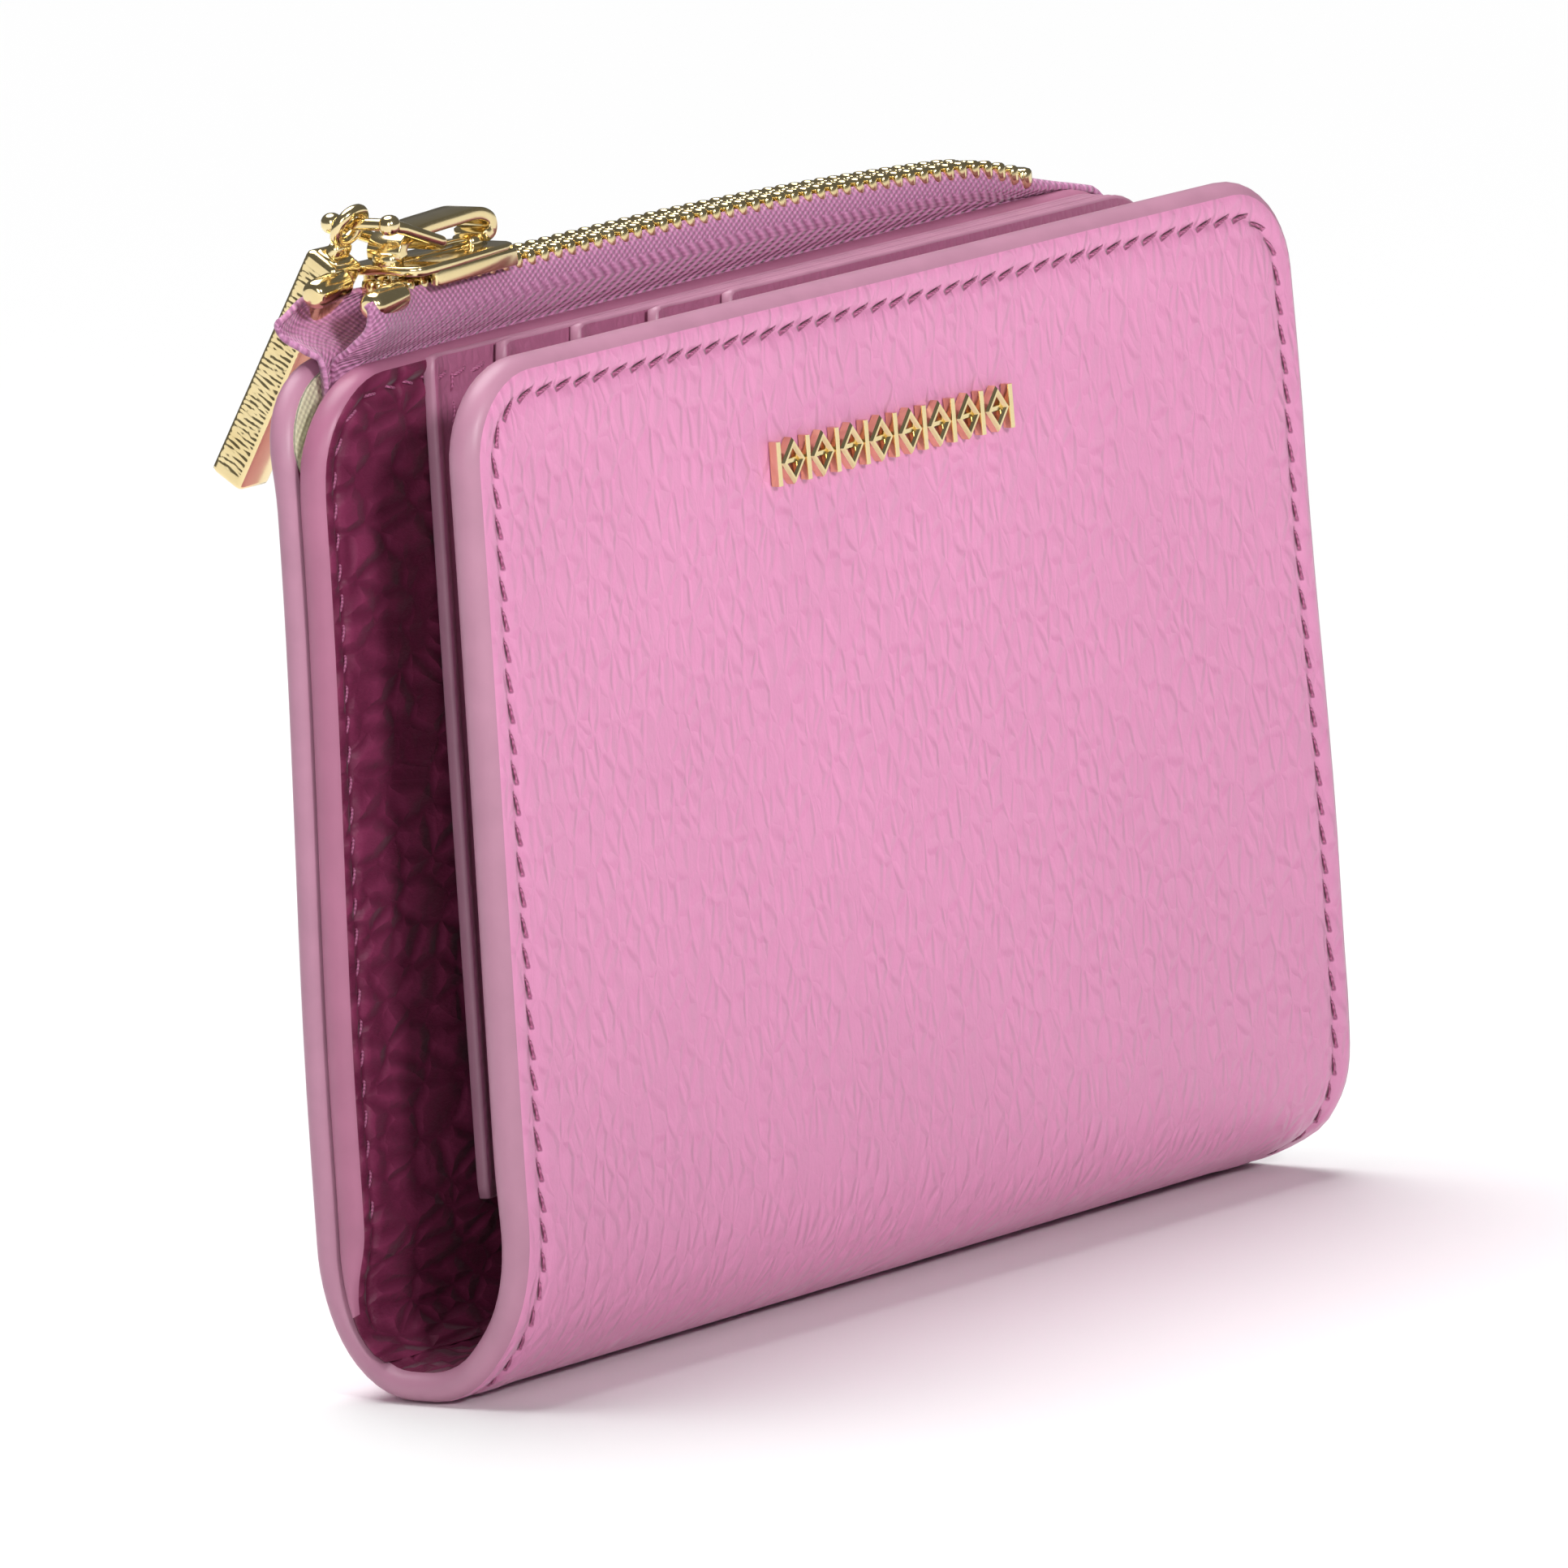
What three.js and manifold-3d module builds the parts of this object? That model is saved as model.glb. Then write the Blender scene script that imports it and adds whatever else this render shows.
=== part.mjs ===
// A compact bifold wallet in pebbled leather, folded along its bottom edge and standing on the fold.
// The front cover carries a metal badge; the back leaf is a zip pocket that opens along the top, with
// side-entry card slots sewn on its inner wall. Millimetres, +X along the fold, +Y to the back, +Z up.
// The origin is on the flat underside of the fold.
import * as THREE from 'three';
import { mergeVertices } from 'three/addons/utils/BufferGeometryUtils.js';
import Module from 'manifold-3d';

const wasm = await Module();
wasm.setup();

// ---------------------------------------------------------------- driving dimensions
const WIDTH = 110;               // along the fold
const HALF = WIDTH / 2;
const DEPTH_HALF = 11;           // outer faces of the leaves stand at y = +-11
const GAP = 0.3;                 // clearance kept between pieces that touch
const CORNER_R = 8;              // top corners of every leaf

const FRONT_TOP = 84;            // front cover
const OUTER_TOP = 82.8;          // outer wall of the zip pocket
const INNER_TOP = 82.2;          // inner wall of the zip pocket

const BACK_BEND = { y: 3.5, z: 12, ry: 7.5, rz: 12 };      // quarter ellipse, back to underside
const FRONT_BEND = { y: -1.5, z: 15, ry: 9.5, rz: 15 };    // quarter ellipse, underside to front

const SHELL = 1.3;               // outer leather
const BOARD = 0.4;               // stiffening board
const LINING = 0.7;              // inner leather lining of the front cover and of the fold
const CLOTH = 0.2;               // pocket lining cloth
const WALL = 1.1;                // leather of the inner pocket wall
const WALL_FACE = 5.9;           // inner face of the back leaf, where the card slots begin
const LEAF_FOOT = 12;            // flat pieces of the leaves end here, above the fold

const SLOT_THICK = 0.5;          // one leather card slot
const BACK_MOUTHS = [-42, -33, -24, -15, -6];   // left edges of the slots on the back leaf
const FRONT_MOUTHS = [-42, -33, -24];           // and on the front cover
const SLOT_END = 53;
const SLOT_TOP = 81.4;
const SLOT_FOOT = 13.7;

const ZIP_Y = 8.45;              // centre line of the zip
const TEETH_LOW = 86.4;
const TEETH_HIGH = 88;
const TEETH_REACH = 1.95;        // outer side of a row, from the centre line
const TEETH_SLOT = 0.55;         // inner tips, from the centre line: the slider's neck runs between them
const TOOTH_PITCH = 2.3;
const CHAIN = [-33.5, 42];       // ends of the closed chain
const BOTTOM_STOP = [42.4, 44.2];
const TOP_STOPS = { inner: { x: -47.6, y: 5.6 }, outer: { x: -49.2, y: 9.6 } };
const STOP_LENGTH = 4.6;
const STOP_R = 1.1;
const TAPE_ENDS = [-49, 54];
const TAPE_TOP = 87.3;
const TAPE_FOOT = 76;
const TAPE = 0.35;               // thickness of the tape
const TAPE_OUT = 2.6;            // upright part of the tape above the wall, from the centre line
const TAPE_IN = 0.9;             // sewn edge inside the wall, from the centre line

const SLIDER_X = -35;            // middle of the slider when the zip is closed
const SLIDER_LENGTH = 15;
const PLATE = 0.8;
const PLATE_LOW = 84.6;          // underside of the lower plate, between the tapes
const NOSE_HALF = 4;             // half width of the upper plate at its nose
const TAIL_HALF = 3;             // and at its tail
const NECK = { from: -6, to: -3, half: 0.22 };   // along X from the middle of the slider

const CROWN_WIDE = 2.8;
const LINK_WIRE = 1;
const PULLER_LEAN = 32;          // degrees from upright
const PULLER_LENGTH = 21.5;
const PULLER_WIDE = 3.8;
const PULLER_THICK = 3.2;

// ---------------------------------------------------------------- materials
function finish(hex, roughness, metalness = 0) {
  return new THREE.MeshStandardMaterial({ color: hex, roughness, metalness });
}
const pinkLeather = () => finish(0xdc97c1, 0.55);
const innerLeather = () => finish(0x9c4a78, 0.6);
const boardStock = () => finish(0x8a8078, 0.9);
const beigeCloth = () => finish(0xcfc9ae, 0.85);
const tapeWeave = () => finish(0xb46ea4, 0.8);
const goldPlate = () => finish(0xd8bb6a, 0.22, 1);

// ---------------------------------------------------------------- geometry helpers
const alongX = new THREE.Matrix4().makeBasis(
  new THREE.Vector3(0, 1, 0), new THREE.Vector3(0, 0, 1), new THREE.Vector3(1, 0, 0));
const alongY = new THREE.Matrix4().makeBasis(
  new THREE.Vector3(0, 0, 1), new THREE.Vector3(1, 0, 0), new THREE.Vector3(0, 1, 0));

function extrude(shape, depth, curveSegments = 8) {
  return new THREE.ExtrudeGeometry(shape, { depth, bevelEnabled: false, curveSegments });
}

// A section drawn in (y, z), swept along X from x0 to x1.
function sweepX(shape, x0, x1) {
  return extrude(shape, x1 - x0).applyMatrix4(alongX).translate(x0, 0, 0);
}

// An outline drawn in (z, x), swept along Y from y0 to y1.
function sweepY(shape, y0, y1, curveSegments = 8) {
  return extrude(shape, y1 - y0, curveSegments).applyMatrix4(alongY).translate(0, y0, 0);
}

// An outline drawn in (x, y), swept along Z from z0 to z1.
function sweepZ(shape, z0, z1, curveSegments = 8) {
  return extrude(shape, z1 - z0, curveSegments).translate(0, 0, z0);
}

function polygon(points) {
  return new THREE.Shape(points.map(([a, b]) => new THREE.Vector2(a, b)));
}

function box(x0, x1, y0, y1, z0, z1) {
  const block = new THREE.BoxGeometry(x1 - x0, y1 - y0, z1 - z0);
  return block.translate((x0 + x1) / 2, (y0 + y1) / 2, (z0 + z1) / 2);
}

// Rectangle in (z, x) whose chosen top corners are rounded.
function leafOutline(x0, x1, z0, z1, leftR, rightR) {
  const s = new THREE.Shape();
  s.moveTo(z0, x0);
  s.lineTo(z0, x1);
  s.lineTo(z1 - rightR, x1);
  if (rightR > 0) s.absarc(z1 - rightR, x1 - rightR, rightR, Math.PI / 2, 0, true);
  s.lineTo(z1, x0 + leftR);
  if (leftR > 0) s.absarc(z1 - leftR, x0 + leftR, leftR, 0, -Math.PI / 2, true);
  s.closePath();
  return s;
}

function leafSheet(x0, x1, y0, y1, z0, z1, leftR, rightR) {
  return sweepY(leafOutline(x0, x1, z0, z1, leftR, rightR), y0, y1);
}

function solid(geometry) {
  const bare = geometry.clone();
  bare.deleteAttribute('normal');
  bare.deleteAttribute('uv');
  const merged = mergeVertices(bare, 1e-4);
  return new wasm.Manifold(new wasm.Mesh({
    numProp: 3,
    vertProperties: new Float32Array(merged.attributes.position.array),
    triVerts: new Uint32Array(merged.index.array),
  }));
}

function geometryOf(manifold) {
  const mesh = manifold.getMesh();
  const g = new THREE.BufferGeometry();
  g.setAttribute('position', new THREE.BufferAttribute(new Float32Array(mesh.vertProperties), 3));
  g.setIndex(new THREE.BufferAttribute(new Uint32Array(mesh.triVerts), 1));
  g.computeVertexNormals();
  return g;
}

function join(...pieces) {
  return geometryOf(pieces.map(solid).reduce((a, b) => a.add(b)));
}

function cut(body, ...tools) {
  return geometryOf(tools.map(solid).reduce((a, b) => a.subtract(b), solid(body)));
}

function common(a, b) {
  return geometryOf(solid(a).intersect(solid(b)));
}

const wallet = new THREE.Group();

function add(name, geometry, material) {
  const mesh = new THREE.Mesh(geometry, material);
  mesh.name = name;
  wallet.add(mesh);
  return mesh;
}

// ---------------------------------------------------------------- the fold
// The shell is one strip of leather that runs down the back, round the bottom and up the front.
// It hinges along the middle of each bend, where the flat underside and the leaf are equally far.
function hingeAngle(bend) {
  let low = 0;
  let high = Math.PI / 2;
  for (let i = 0; i < 40; i += 1) {
    const mid = (low + high) / 2;
    const fromLeaf = bend.ry * (1 - Math.cos(mid));
    const fromFloor = bend.rz * (1 - Math.sin(mid));
    if (fromLeaf < fromFloor) low = mid;
    else high = mid;
  }
  return low;
}
const BACK_SPLIT = hingeAngle(BACK_BEND);
const FRONT_SPLIT = hingeAngle(FRONT_BEND);
const SPLIT_HALF = 0.022;        // radians to either side of the split, about 0.2 mm of leather
const BEND_STEPS = 7;

// Points on a bend, inset from the outer surface; side is +1 at the back and -1 at the front.
function bendPoints(bend, side, inset, from, to) {
  const points = [];
  for (let i = 0; i <= BEND_STEPS; i += 1) {
    const t = from + (to - from) * i / BEND_STEPS;
    points.push([
      bend.y + side * (bend.ry - inset) * Math.cos(t),
      bend.z - (bend.rz - inset) * Math.sin(t),
    ]);
  }
  return points;
}

// Leaf of the shell between two insets: straight from the top, then half of its bend.
function leafSection(bend, side, outer, inner, top, split) {
  const end = split - SPLIT_HALF;
  const face = (inset) => side * (DEPTH_HALF - inset);
  const outside = bendPoints(bend, side, outer, 0, end);
  const inside = bendPoints(bend, side, inner, 0, end).reverse();
  const ring = [[face(outer), top], ...outside, ...inside, [face(inner), top]];
  return polygon(side > 0 ? ring.reverse() : ring);
}

// Underside of the shell: the far half of both bends and the flat between them.
function spineSection(outer, inner) {
  const quarter = Math.PI / 2;
  const along = (inset) => [
    ...bendPoints(FRONT_BEND, -1, inset, FRONT_SPLIT + SPLIT_HALF, quarter),
    ...bendPoints(BACK_BEND, 1, inset, BACK_SPLIT + SPLIT_HALF, quarter).reverse(),
  ];
  return polygon([...along(outer), ...along(inner).reverse()]);
}

function shellLeaf(bend, side, outer, inner, top, split, inset = 0) {
  const strip = sweepX(leafSection(bend, side, outer, inner, top + 1, split), -HALF + inset, HALF - inset);
  const r = CORNER_R - inset;
  const outline = leafSheet(-HALF + inset, HALF - inset, -WIDTH, WIDTH, -inset, top - inset, r, r);
  return common(strip, outline);
}

// ---------------------------------------------------------------- badge on the front cover
const BADGE = { x: -1.4, z: 70, length: 31, height: 3.8, thick: 1 };
const PRONG_X = 12;              // prongs stand this far from the middle of the badge
const PRONG = { wide: 1, high: 0.6, clear: 0.3 };
const prongCentres = [BADGE.x - PRONG_X, BADGE.x + PRONG_X];

function prong(x, y0, y1, grow) {
  const w = PRONG.wide / 2 + grow;
  const h = PRONG.high / 2 + grow;
  return box(x - w, x + w, y0, y1, BADGE.z - h, BADGE.z + h);
}

function badge() {
  const r = BADGE.height / 2;
  const outline = new THREE.Shape();
  outline.absarc(BADGE.z, BADGE.x + BADGE.length / 2 - r, r, 0, Math.PI, false);
  outline.absarc(BADGE.z, BADGE.x - BADGE.length / 2 + r, r, Math.PI, 2 * Math.PI, false);
  const back = -DEPTH_HALF - GAP;
  const plate = sweepY(outline, back - BADGE.thick, back);
  const prongs = prongCentres.map((x) => prong(x, back - BADGE.thick / 2, -DEPTH_HALF + SHELL, 0));
  return join(plate, ...prongs);
}

// ---------------------------------------------------------------- front cover and fold
const prongHoles = prongCentres.map((x) => (
  prong(x, -DEPTH_HALF - 1, -DEPTH_HALF + SHELL + 1, PRONG.clear)));
const BOARD_FACE = SHELL + GAP;
const LINING_FACE = BOARD_FACE + BOARD + GAP;
const FRONT_INSIDE = LINING_FACE + LINING;
const BOARD_INSET = 2;           // from the edges of the cover
const BOARD_FOOT = 16;
const LINING_BACK = 0.4;         // the linings stop this far inside the leather's cut edge

const frontShell = shellLeaf(FRONT_BEND, -1, 0, SHELL, FRONT_TOP, FRONT_SPLIT);
add('front_cover_leather', cut(frontShell, ...prongHoles), pinkLeather());
add('front_stiffener', leafSheet(-HALF + BOARD_INSET, HALF - BOARD_INSET, -DEPTH_HALF + BOARD_FACE,
  -DEPTH_HALF + BOARD_FACE + BOARD, BOARD_FOOT, FRONT_TOP - BOARD_INSET, CORNER_R - BOARD_INSET,
  CORNER_R - BOARD_INSET), boardStock());
add('front_lining_leather', shellLeaf(FRONT_BEND, -1, LINING_FACE, FRONT_INSIDE, FRONT_TOP,
  FRONT_SPLIT, LINING_BACK), innerLeather());
add('badge_bar', badge(), goldPlate());
add('fold_leather', sweepX(spineSection(0, SHELL), -HALF, HALF), pinkLeather());
add('fold_lining', sweepX(spineSection(SHELL + GAP, SHELL + GAP + LINING), -HALF + LINING_BACK,
  HALF - LINING_BACK), innerLeather());

// ---------------------------------------------------------------- back leaf: the zip pocket
const LINING_DROP = 0.6;         // the cloth stops this far below the top of its wall
const LINING_INSET = 1.5;        // and this far from the wall's sides
const LINING_APART = 0.25;       // each cloth from the centre line of the pocket
const CLOTH_R = CORNER_R - LINING_INSET;
add('pocket_outer_leather', shellLeaf(BACK_BEND, 1, 0, SHELL, OUTER_TOP, BACK_SPLIT), pinkLeather());
add('pocket_inner_leather', leafSheet(-HALF, HALF, WALL_FACE, WALL_FACE + WALL, LEAF_FOOT + 1,
  INNER_TOP, CORNER_R, CORNER_R), innerLeather());
function pocketCloth(y, wallTop) {
  return leafSheet(-HALF + LINING_INSET, HALF - LINING_INSET, y, y + CLOTH, LEAF_FOOT + 2,
    wallTop - LINING_DROP, CLOTH_R, CLOTH_R);
}
add('pocket_lining_inner', pocketCloth(ZIP_Y - LINING_APART - CLOTH, INNER_TOP), beigeCloth());
add('pocket_lining_outer', pocketCloth(ZIP_Y + LINING_APART, OUTER_TOP), beigeCloth());

// ---------------------------------------------------------------- card slots
// Leather layers with their mouths to the left, each starting 9 mm further in than the one below.
function cardSlot(mouth, y0) {
  return leafSheet(mouth, SLOT_END, y0, y0 + SLOT_THICK, SLOT_FOOT, SLOT_TOP, 0, CORNER_R - 2);
}
const SLOT_STEP = SLOT_THICK + GAP;
BACK_MOUTHS.forEach((mouth, i) => {
  const y = WALL_FACE - SLOT_STEP * (i + 1);
  add(`back_card_slot_${i + 1}`, cardSlot(mouth, y), innerLeather());
});
FRONT_MOUTHS.forEach((mouth, i) => {
  const y = -DEPTH_HALF + FRONT_INSIDE + GAP + SLOT_STEP * i;
  add(`front_card_slot_${i + 1}`, cardSlot(mouth, y), innerLeather());
});

// ---------------------------------------------------------------- press stud that keeps it shut
const STUD = { x: 0, z: 72, r: 5.5, postR: 1.7, flange: 0.8, height: 2.4, rim: 1.9, floor: 0.5 };
const STUD_BACK = WALL_FACE - SLOT_STEP * BACK_MOUTHS.length - GAP;
const STUD_FRONT = -DEPTH_HALF + FRONT_INSIDE + SLOT_STEP * FRONT_MOUTHS.length + GAP;

// A turned piece whose profile is given as [radius, y]; it lies on the Y axis through the stud.
function turnedY(profile, x, z) {
  const lathe = new THREE.LatheGeometry(profile.map(([r, h]) => new THREE.Vector2(r, h)), 20);
  return lathe.translate(x, 0, z);
}
const SOCKET_R = STUD.postR + 0.4;
add('press_stud_post', turnedY([
  [0, STUD_BACK - STUD.height],
  [STUD.postR, STUD_BACK - STUD.height + 0.2],
  [STUD.postR - 0.4, STUD_BACK - STUD.flange - 0.1],
  [STUD.r - 1, STUD_BACK - STUD.flange],
  [STUD.r, STUD_BACK],
  [0, STUD_BACK],
], STUD.x, STUD.z), goldPlate());
add('press_stud_socket', turnedY([
  [0, STUD_FRONT],
  [STUD.r, STUD_FRONT],
  [STUD.r - 0.6, STUD_FRONT + STUD.rim - 0.3],
  [SOCKET_R, STUD_FRONT + STUD.rim],
  [SOCKET_R, STUD_FRONT + STUD.floor],
  [0, STUD_FRONT + STUD.floor],
], STUD.x, STUD.z), goldPlate());

// ---------------------------------------------------------------- zip
// side is -1 for the tape on the inner wall and +1 for the tape on the outer wall. Each tape rises from
// inside its wall, steps out over the wall's top edge and stands upright beside the teeth. Past the
// closed end it slopes down to the right, and a notch at the left takes the top stop.
const ABOVE = 92;                // higher than anything that is cut
const TAPE_SLOPE = { x: 43.4, z: 84.6, endX: 54.6, endZ: 81 };
const NOTCH = { x: -42.2, deep: 1.7 };

function zipTape(side, wallTop) {
  const out = ZIP_Y + side * TAPE_OUT;
  const low = ZIP_Y + side * TAPE_IN;
  const t = -side * TAPE;
  const lip = wallTop + GAP;
  const ring = [
    [low, TAPE_FOOT], [low, lip + 0.2], [out, lip + 1], [out, TAPE_TOP],
    [out + t, TAPE_TOP], [out + t, lip + 1.3], [low + t, lip + 0.6], [low + t, TAPE_FOOT],
  ];
  const strip = sweepX(polygon(side < 0 ? ring.reverse() : ring), ...TAPE_ENDS);
  const overSlope = sweepY(polygon([
    [ABOVE, TAPE_SLOPE.x], [ABOVE, WIDTH], [TAPE_SLOPE.endZ, TAPE_SLOPE.endX], [TAPE_SLOPE.z, TAPE_SLOPE.x],
  ]), 0, 2 * ZIP_Y);
  const stopNotch = box(-WIDTH, NOTCH.x, 0, 2 * ZIP_Y, TAPE_TOP - NOTCH.deep, ABOVE);
  return cut(strip, overSlope, stopNotch);
}

function teethRow(side) {
  const outer = ZIP_Y + side * TEETH_REACH;
  const root = ZIP_Y + side * (TEETH_REACH - 0.6);
  const tip = ZIP_Y + side * TEETH_SLOT;
  const start = CHAIN[0] + (side > 0 ? TOOTH_PITCH / 2 : 0);
  const ring = [[start, outer], [start, root]];
  const count = Math.floor((CHAIN[1] - start) / TOOTH_PITCH);
  for (let i = 0; i < count; i += 1) {
    const x = start + (i + 0.25) * TOOTH_PITCH;
    const w = TOOTH_PITCH / 2;
    ring.push([x, root], [x, tip], [x + w, tip], [x + w, root]);
  }
  const end = start + count * TOOTH_PITCH;
  ring.push([end, root], [end, outer]);
  return sweepZ(polygon(side > 0 ? ring : ring.reverse()), TEETH_LOW, TEETH_HIGH);
}

function crimp(x0, x1, y, z, r) {
  const round = new THREE.Shape().absarc(0, 0, r, 0, 2 * Math.PI, false);
  return extrude(round, x1 - x0, 10).applyMatrix4(alongX).translate(x0, y, z);
}

for (const [word, side, top] of [['inner', -1, INNER_TOP], ['outer', 1, OUTER_TOP]]) {
  add(`zip_tape_${word}`, zipTape(side, top), tapeWeave());
  add(`zip_teeth_${word}`, teethRow(side), goldPlate());
  const { x, y } = TOP_STOPS[word];
  add(`zip_top_stop_${word}`, crimp(x, x + STOP_LENGTH, y, TAPE_TOP - GAP, STOP_R), goldPlate());
}
add('zip_bottom_stop', box(...BOTTOM_STOP, ZIP_Y - TEETH_REACH, ZIP_Y + TEETH_REACH,
  TEETH_LOW, TEETH_HIGH), goldPlate());

// ---------------------------------------------------------------- slider, link and puller
const PLATE_FLOOR = TEETH_HIGH + GAP;
const PLATE_R = 1;               // corners of the plate's tail
const NOSE_ROUND = 1.5;          // the nose starts to round this far from its tip

function upperPlateOutline() {
  const tail = SLIDER_X + SLIDER_LENGTH / 2;
  const nose = SLIDER_X - SLIDER_LENGTH / 2;
  const s = new THREE.Shape();
  s.moveTo(nose + NOSE_ROUND, ZIP_Y - NOSE_HALF);
  s.lineTo(tail - PLATE_R, ZIP_Y - TAIL_HALF);
  s.quadraticCurveTo(tail, ZIP_Y - TAIL_HALF, tail, ZIP_Y - TAIL_HALF + PLATE_R);
  s.lineTo(tail, ZIP_Y + TAIL_HALF - PLATE_R);
  s.quadraticCurveTo(tail, ZIP_Y + TAIL_HALF, tail - PLATE_R, ZIP_Y + TAIL_HALF);
  s.lineTo(nose + NOSE_ROUND, ZIP_Y + NOSE_HALF);
  s.quadraticCurveTo(nose - 1, ZIP_Y, nose + NOSE_ROUND, ZIP_Y - NOSE_HALF);
  return s;
}

function sliderBody() {
  const lowerReach = SLIDER_LENGTH / 2 - 1;
  const upper = sweepZ(upperPlateOutline(), PLATE_FLOOR, PLATE_FLOOR + PLATE, 6);
  const lower = box(SLIDER_X - lowerReach, SLIDER_X + lowerReach, ZIP_Y - TEETH_REACH, ZIP_Y + TEETH_REACH,
    PLATE_LOW, PLATE_LOW + PLATE);
  const neck = box(SLIDER_X + NECK.from, SLIDER_X + NECK.to, ZIP_Y - NECK.half, ZIP_Y + NECK.half,
    PLATE_LOW + PLATE / 2, PLATE_FLOOR + PLATE / 2);
  return join(upper, lower, neck);
}

// The crown is a flat strap: it rises steeply at the nose of the slider, arches over the link and
// comes down short of the upper plate in an open hook.
const DECK = PLATE_FLOOR + PLATE;
const STRAP_HALF = 0.3;          // half the crown's thickness
function crown() {
  const rise = [
    [-6, 0.4], [-6.1, 1.3], [-5.3, 2.3], [-3, 2.75], [1.5, 2.85], [5.6, 2.4], [7, 1.2], [6.6, 0.6],
  ];
  const route = new THREE.CatmullRomCurve3(rise.map(([x, z]) => (
    new THREE.Vector3(SLIDER_X + x, ZIP_Y, DECK + z))));
  const w = CROWN_WIDE / 2;
  const t = STRAP_HALF;
  const strap = polygon([[-w, -t], [w, -t], [w, t], [-w, t]]);
  return new THREE.ExtrudeGeometry(strap, { steps: 22, bevelEnabled: false, extrudePath: route });
}

add('slider_body', sliderBody(), goldPlate());
add('slider_crown', crown(), goldPlate());
const LOCK = { long: 4.5, half: 0.6, thick: 0.4 };
add('slider_lock_spring', box(SLIDER_X, SLIDER_X + LOCK.long, ZIP_Y - LOCK.half, ZIP_Y + LOCK.half,
  DECK + GAP, DECK + GAP + LOCK.thick), goldPlate());

// The link is a flat rounded frame. One end bar lies under the crown and is its hinge; the frame
// slopes up past the nose of the slider, and the puller's eye hangs on the other end bar.
const LINK_RISE = 20 * Math.PI / 180;
const LINK_LENGTH = 7.2;         // between the middles of the two end bars
const LINK_HALF = 3.3;
const LINK_R = 1.2;
const LINK_PIVOT = [-37.6, ZIP_Y, 90.4];

function linkFrame() {
  const w = LINK_HALF;
  const r = LINK_R;
  const x0 = -LINK_LENGTH - LINK_WIRE / 2;
  const x1 = LINK_WIRE / 2;
  const rim = new THREE.Shape();
  rim.moveTo(x0 + r, -w);
  rim.lineTo(x1 - r, -w);
  rim.absarc(x1 - r, -w + r, r, -Math.PI / 2, 0, false);
  rim.absarc(x1 - r, w - r, r, 0, Math.PI / 2, false);
  rim.absarc(x0 + r, w - r, r, Math.PI / 2, Math.PI, false);
  rim.absarc(x0 + r, -w + r, r, Math.PI, Math.PI * 1.5, false);
  const i = LINK_WIRE;
  rim.holes.push(new THREE.Path([
    [x0 + i, -w + i], [x0 + i, w - i], [x1 - i, w - i], [x1 - i, -w + i],
  ].map(([x, y]) => new THREE.Vector2(x, y))));
  return sweepZ(rim, -LINK_WIRE / 2, LINK_WIRE / 2, 4);
}

const link = add('pull_link', linkFrame(), goldPlate());
link.position.set(...LINK_PIVOT);
link.rotation.y = LINK_RISE;

// The puller is a chunky bar with bevelled edges and an eye at its top.
const EYE = { r: 2.3, hole: 1.5, thick: 1.2, y: 9.4 };
const BAR_TOP = 3.1;             // below the middle of the eye
const BAR_BEVEL = 0.5;
const EYE_NECK_HALF = 1.2;

function pullerBar() {
  const w = PULLER_WIDE / 2;
  const t = PULLER_THICK / 2;
  const b = BAR_BEVEL;
  const section = polygon([
    [-w + b, -t], [w - b, -t], [w, -t + b], [w, t - b],
    [w - b, t], [-w + b, t], [-w, t - b], [-w, -t + b],
  ]);
  const bar = sweepZ(section, -BAR_TOP - PULLER_LENGTH, -BAR_TOP);
  const ring = new THREE.Shape().absarc(0, 0, EYE.r, 0, 2 * Math.PI, false);
  const hole = new THREE.Shape().absarc(0, 0, EYE.hole, 0, 2 * Math.PI, false);
  const eye = sweepY(ring, -EYE.thick / 2, EYE.thick / 2, 12);
  const neckHalf = EYE.thick / 2 - 0.05;
  const neck = box(-EYE_NECK_HALF, EYE_NECK_HALF, -neckHalf, neckHalf, -BAR_TOP - BAR_BEVEL,
    -EYE.hole - GAP);
  return cut(join(bar, eye, neck), sweepY(hole, -EYE.thick, EYE.thick, 10));
}

const puller = add('puller_bar', pullerBar(), goldPlate());
puller.position.set(
  LINK_PIVOT[0] - LINK_LENGTH * Math.cos(LINK_RISE),
  EYE.y,
  LINK_PIVOT[2] + LINK_LENGTH * Math.sin(LINK_RISE),
);
puller.rotation.x = PULLER_LEAN * Math.PI / 180;

export default wallet;
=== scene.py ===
# A compact bifold wallet in pink pebbled leather, built piece by piece in the order that it is made up:
# the leather shell, its seams, the zip pocket, the card slots, the zip with its slider and puller, the
# badge and the press stud. Sizes are in millimetres where a piece is drawn, and metres in the meshes.
import math

import bmesh
import bpy
import numpy as np
from mathutils import Matrix, Vector


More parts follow.
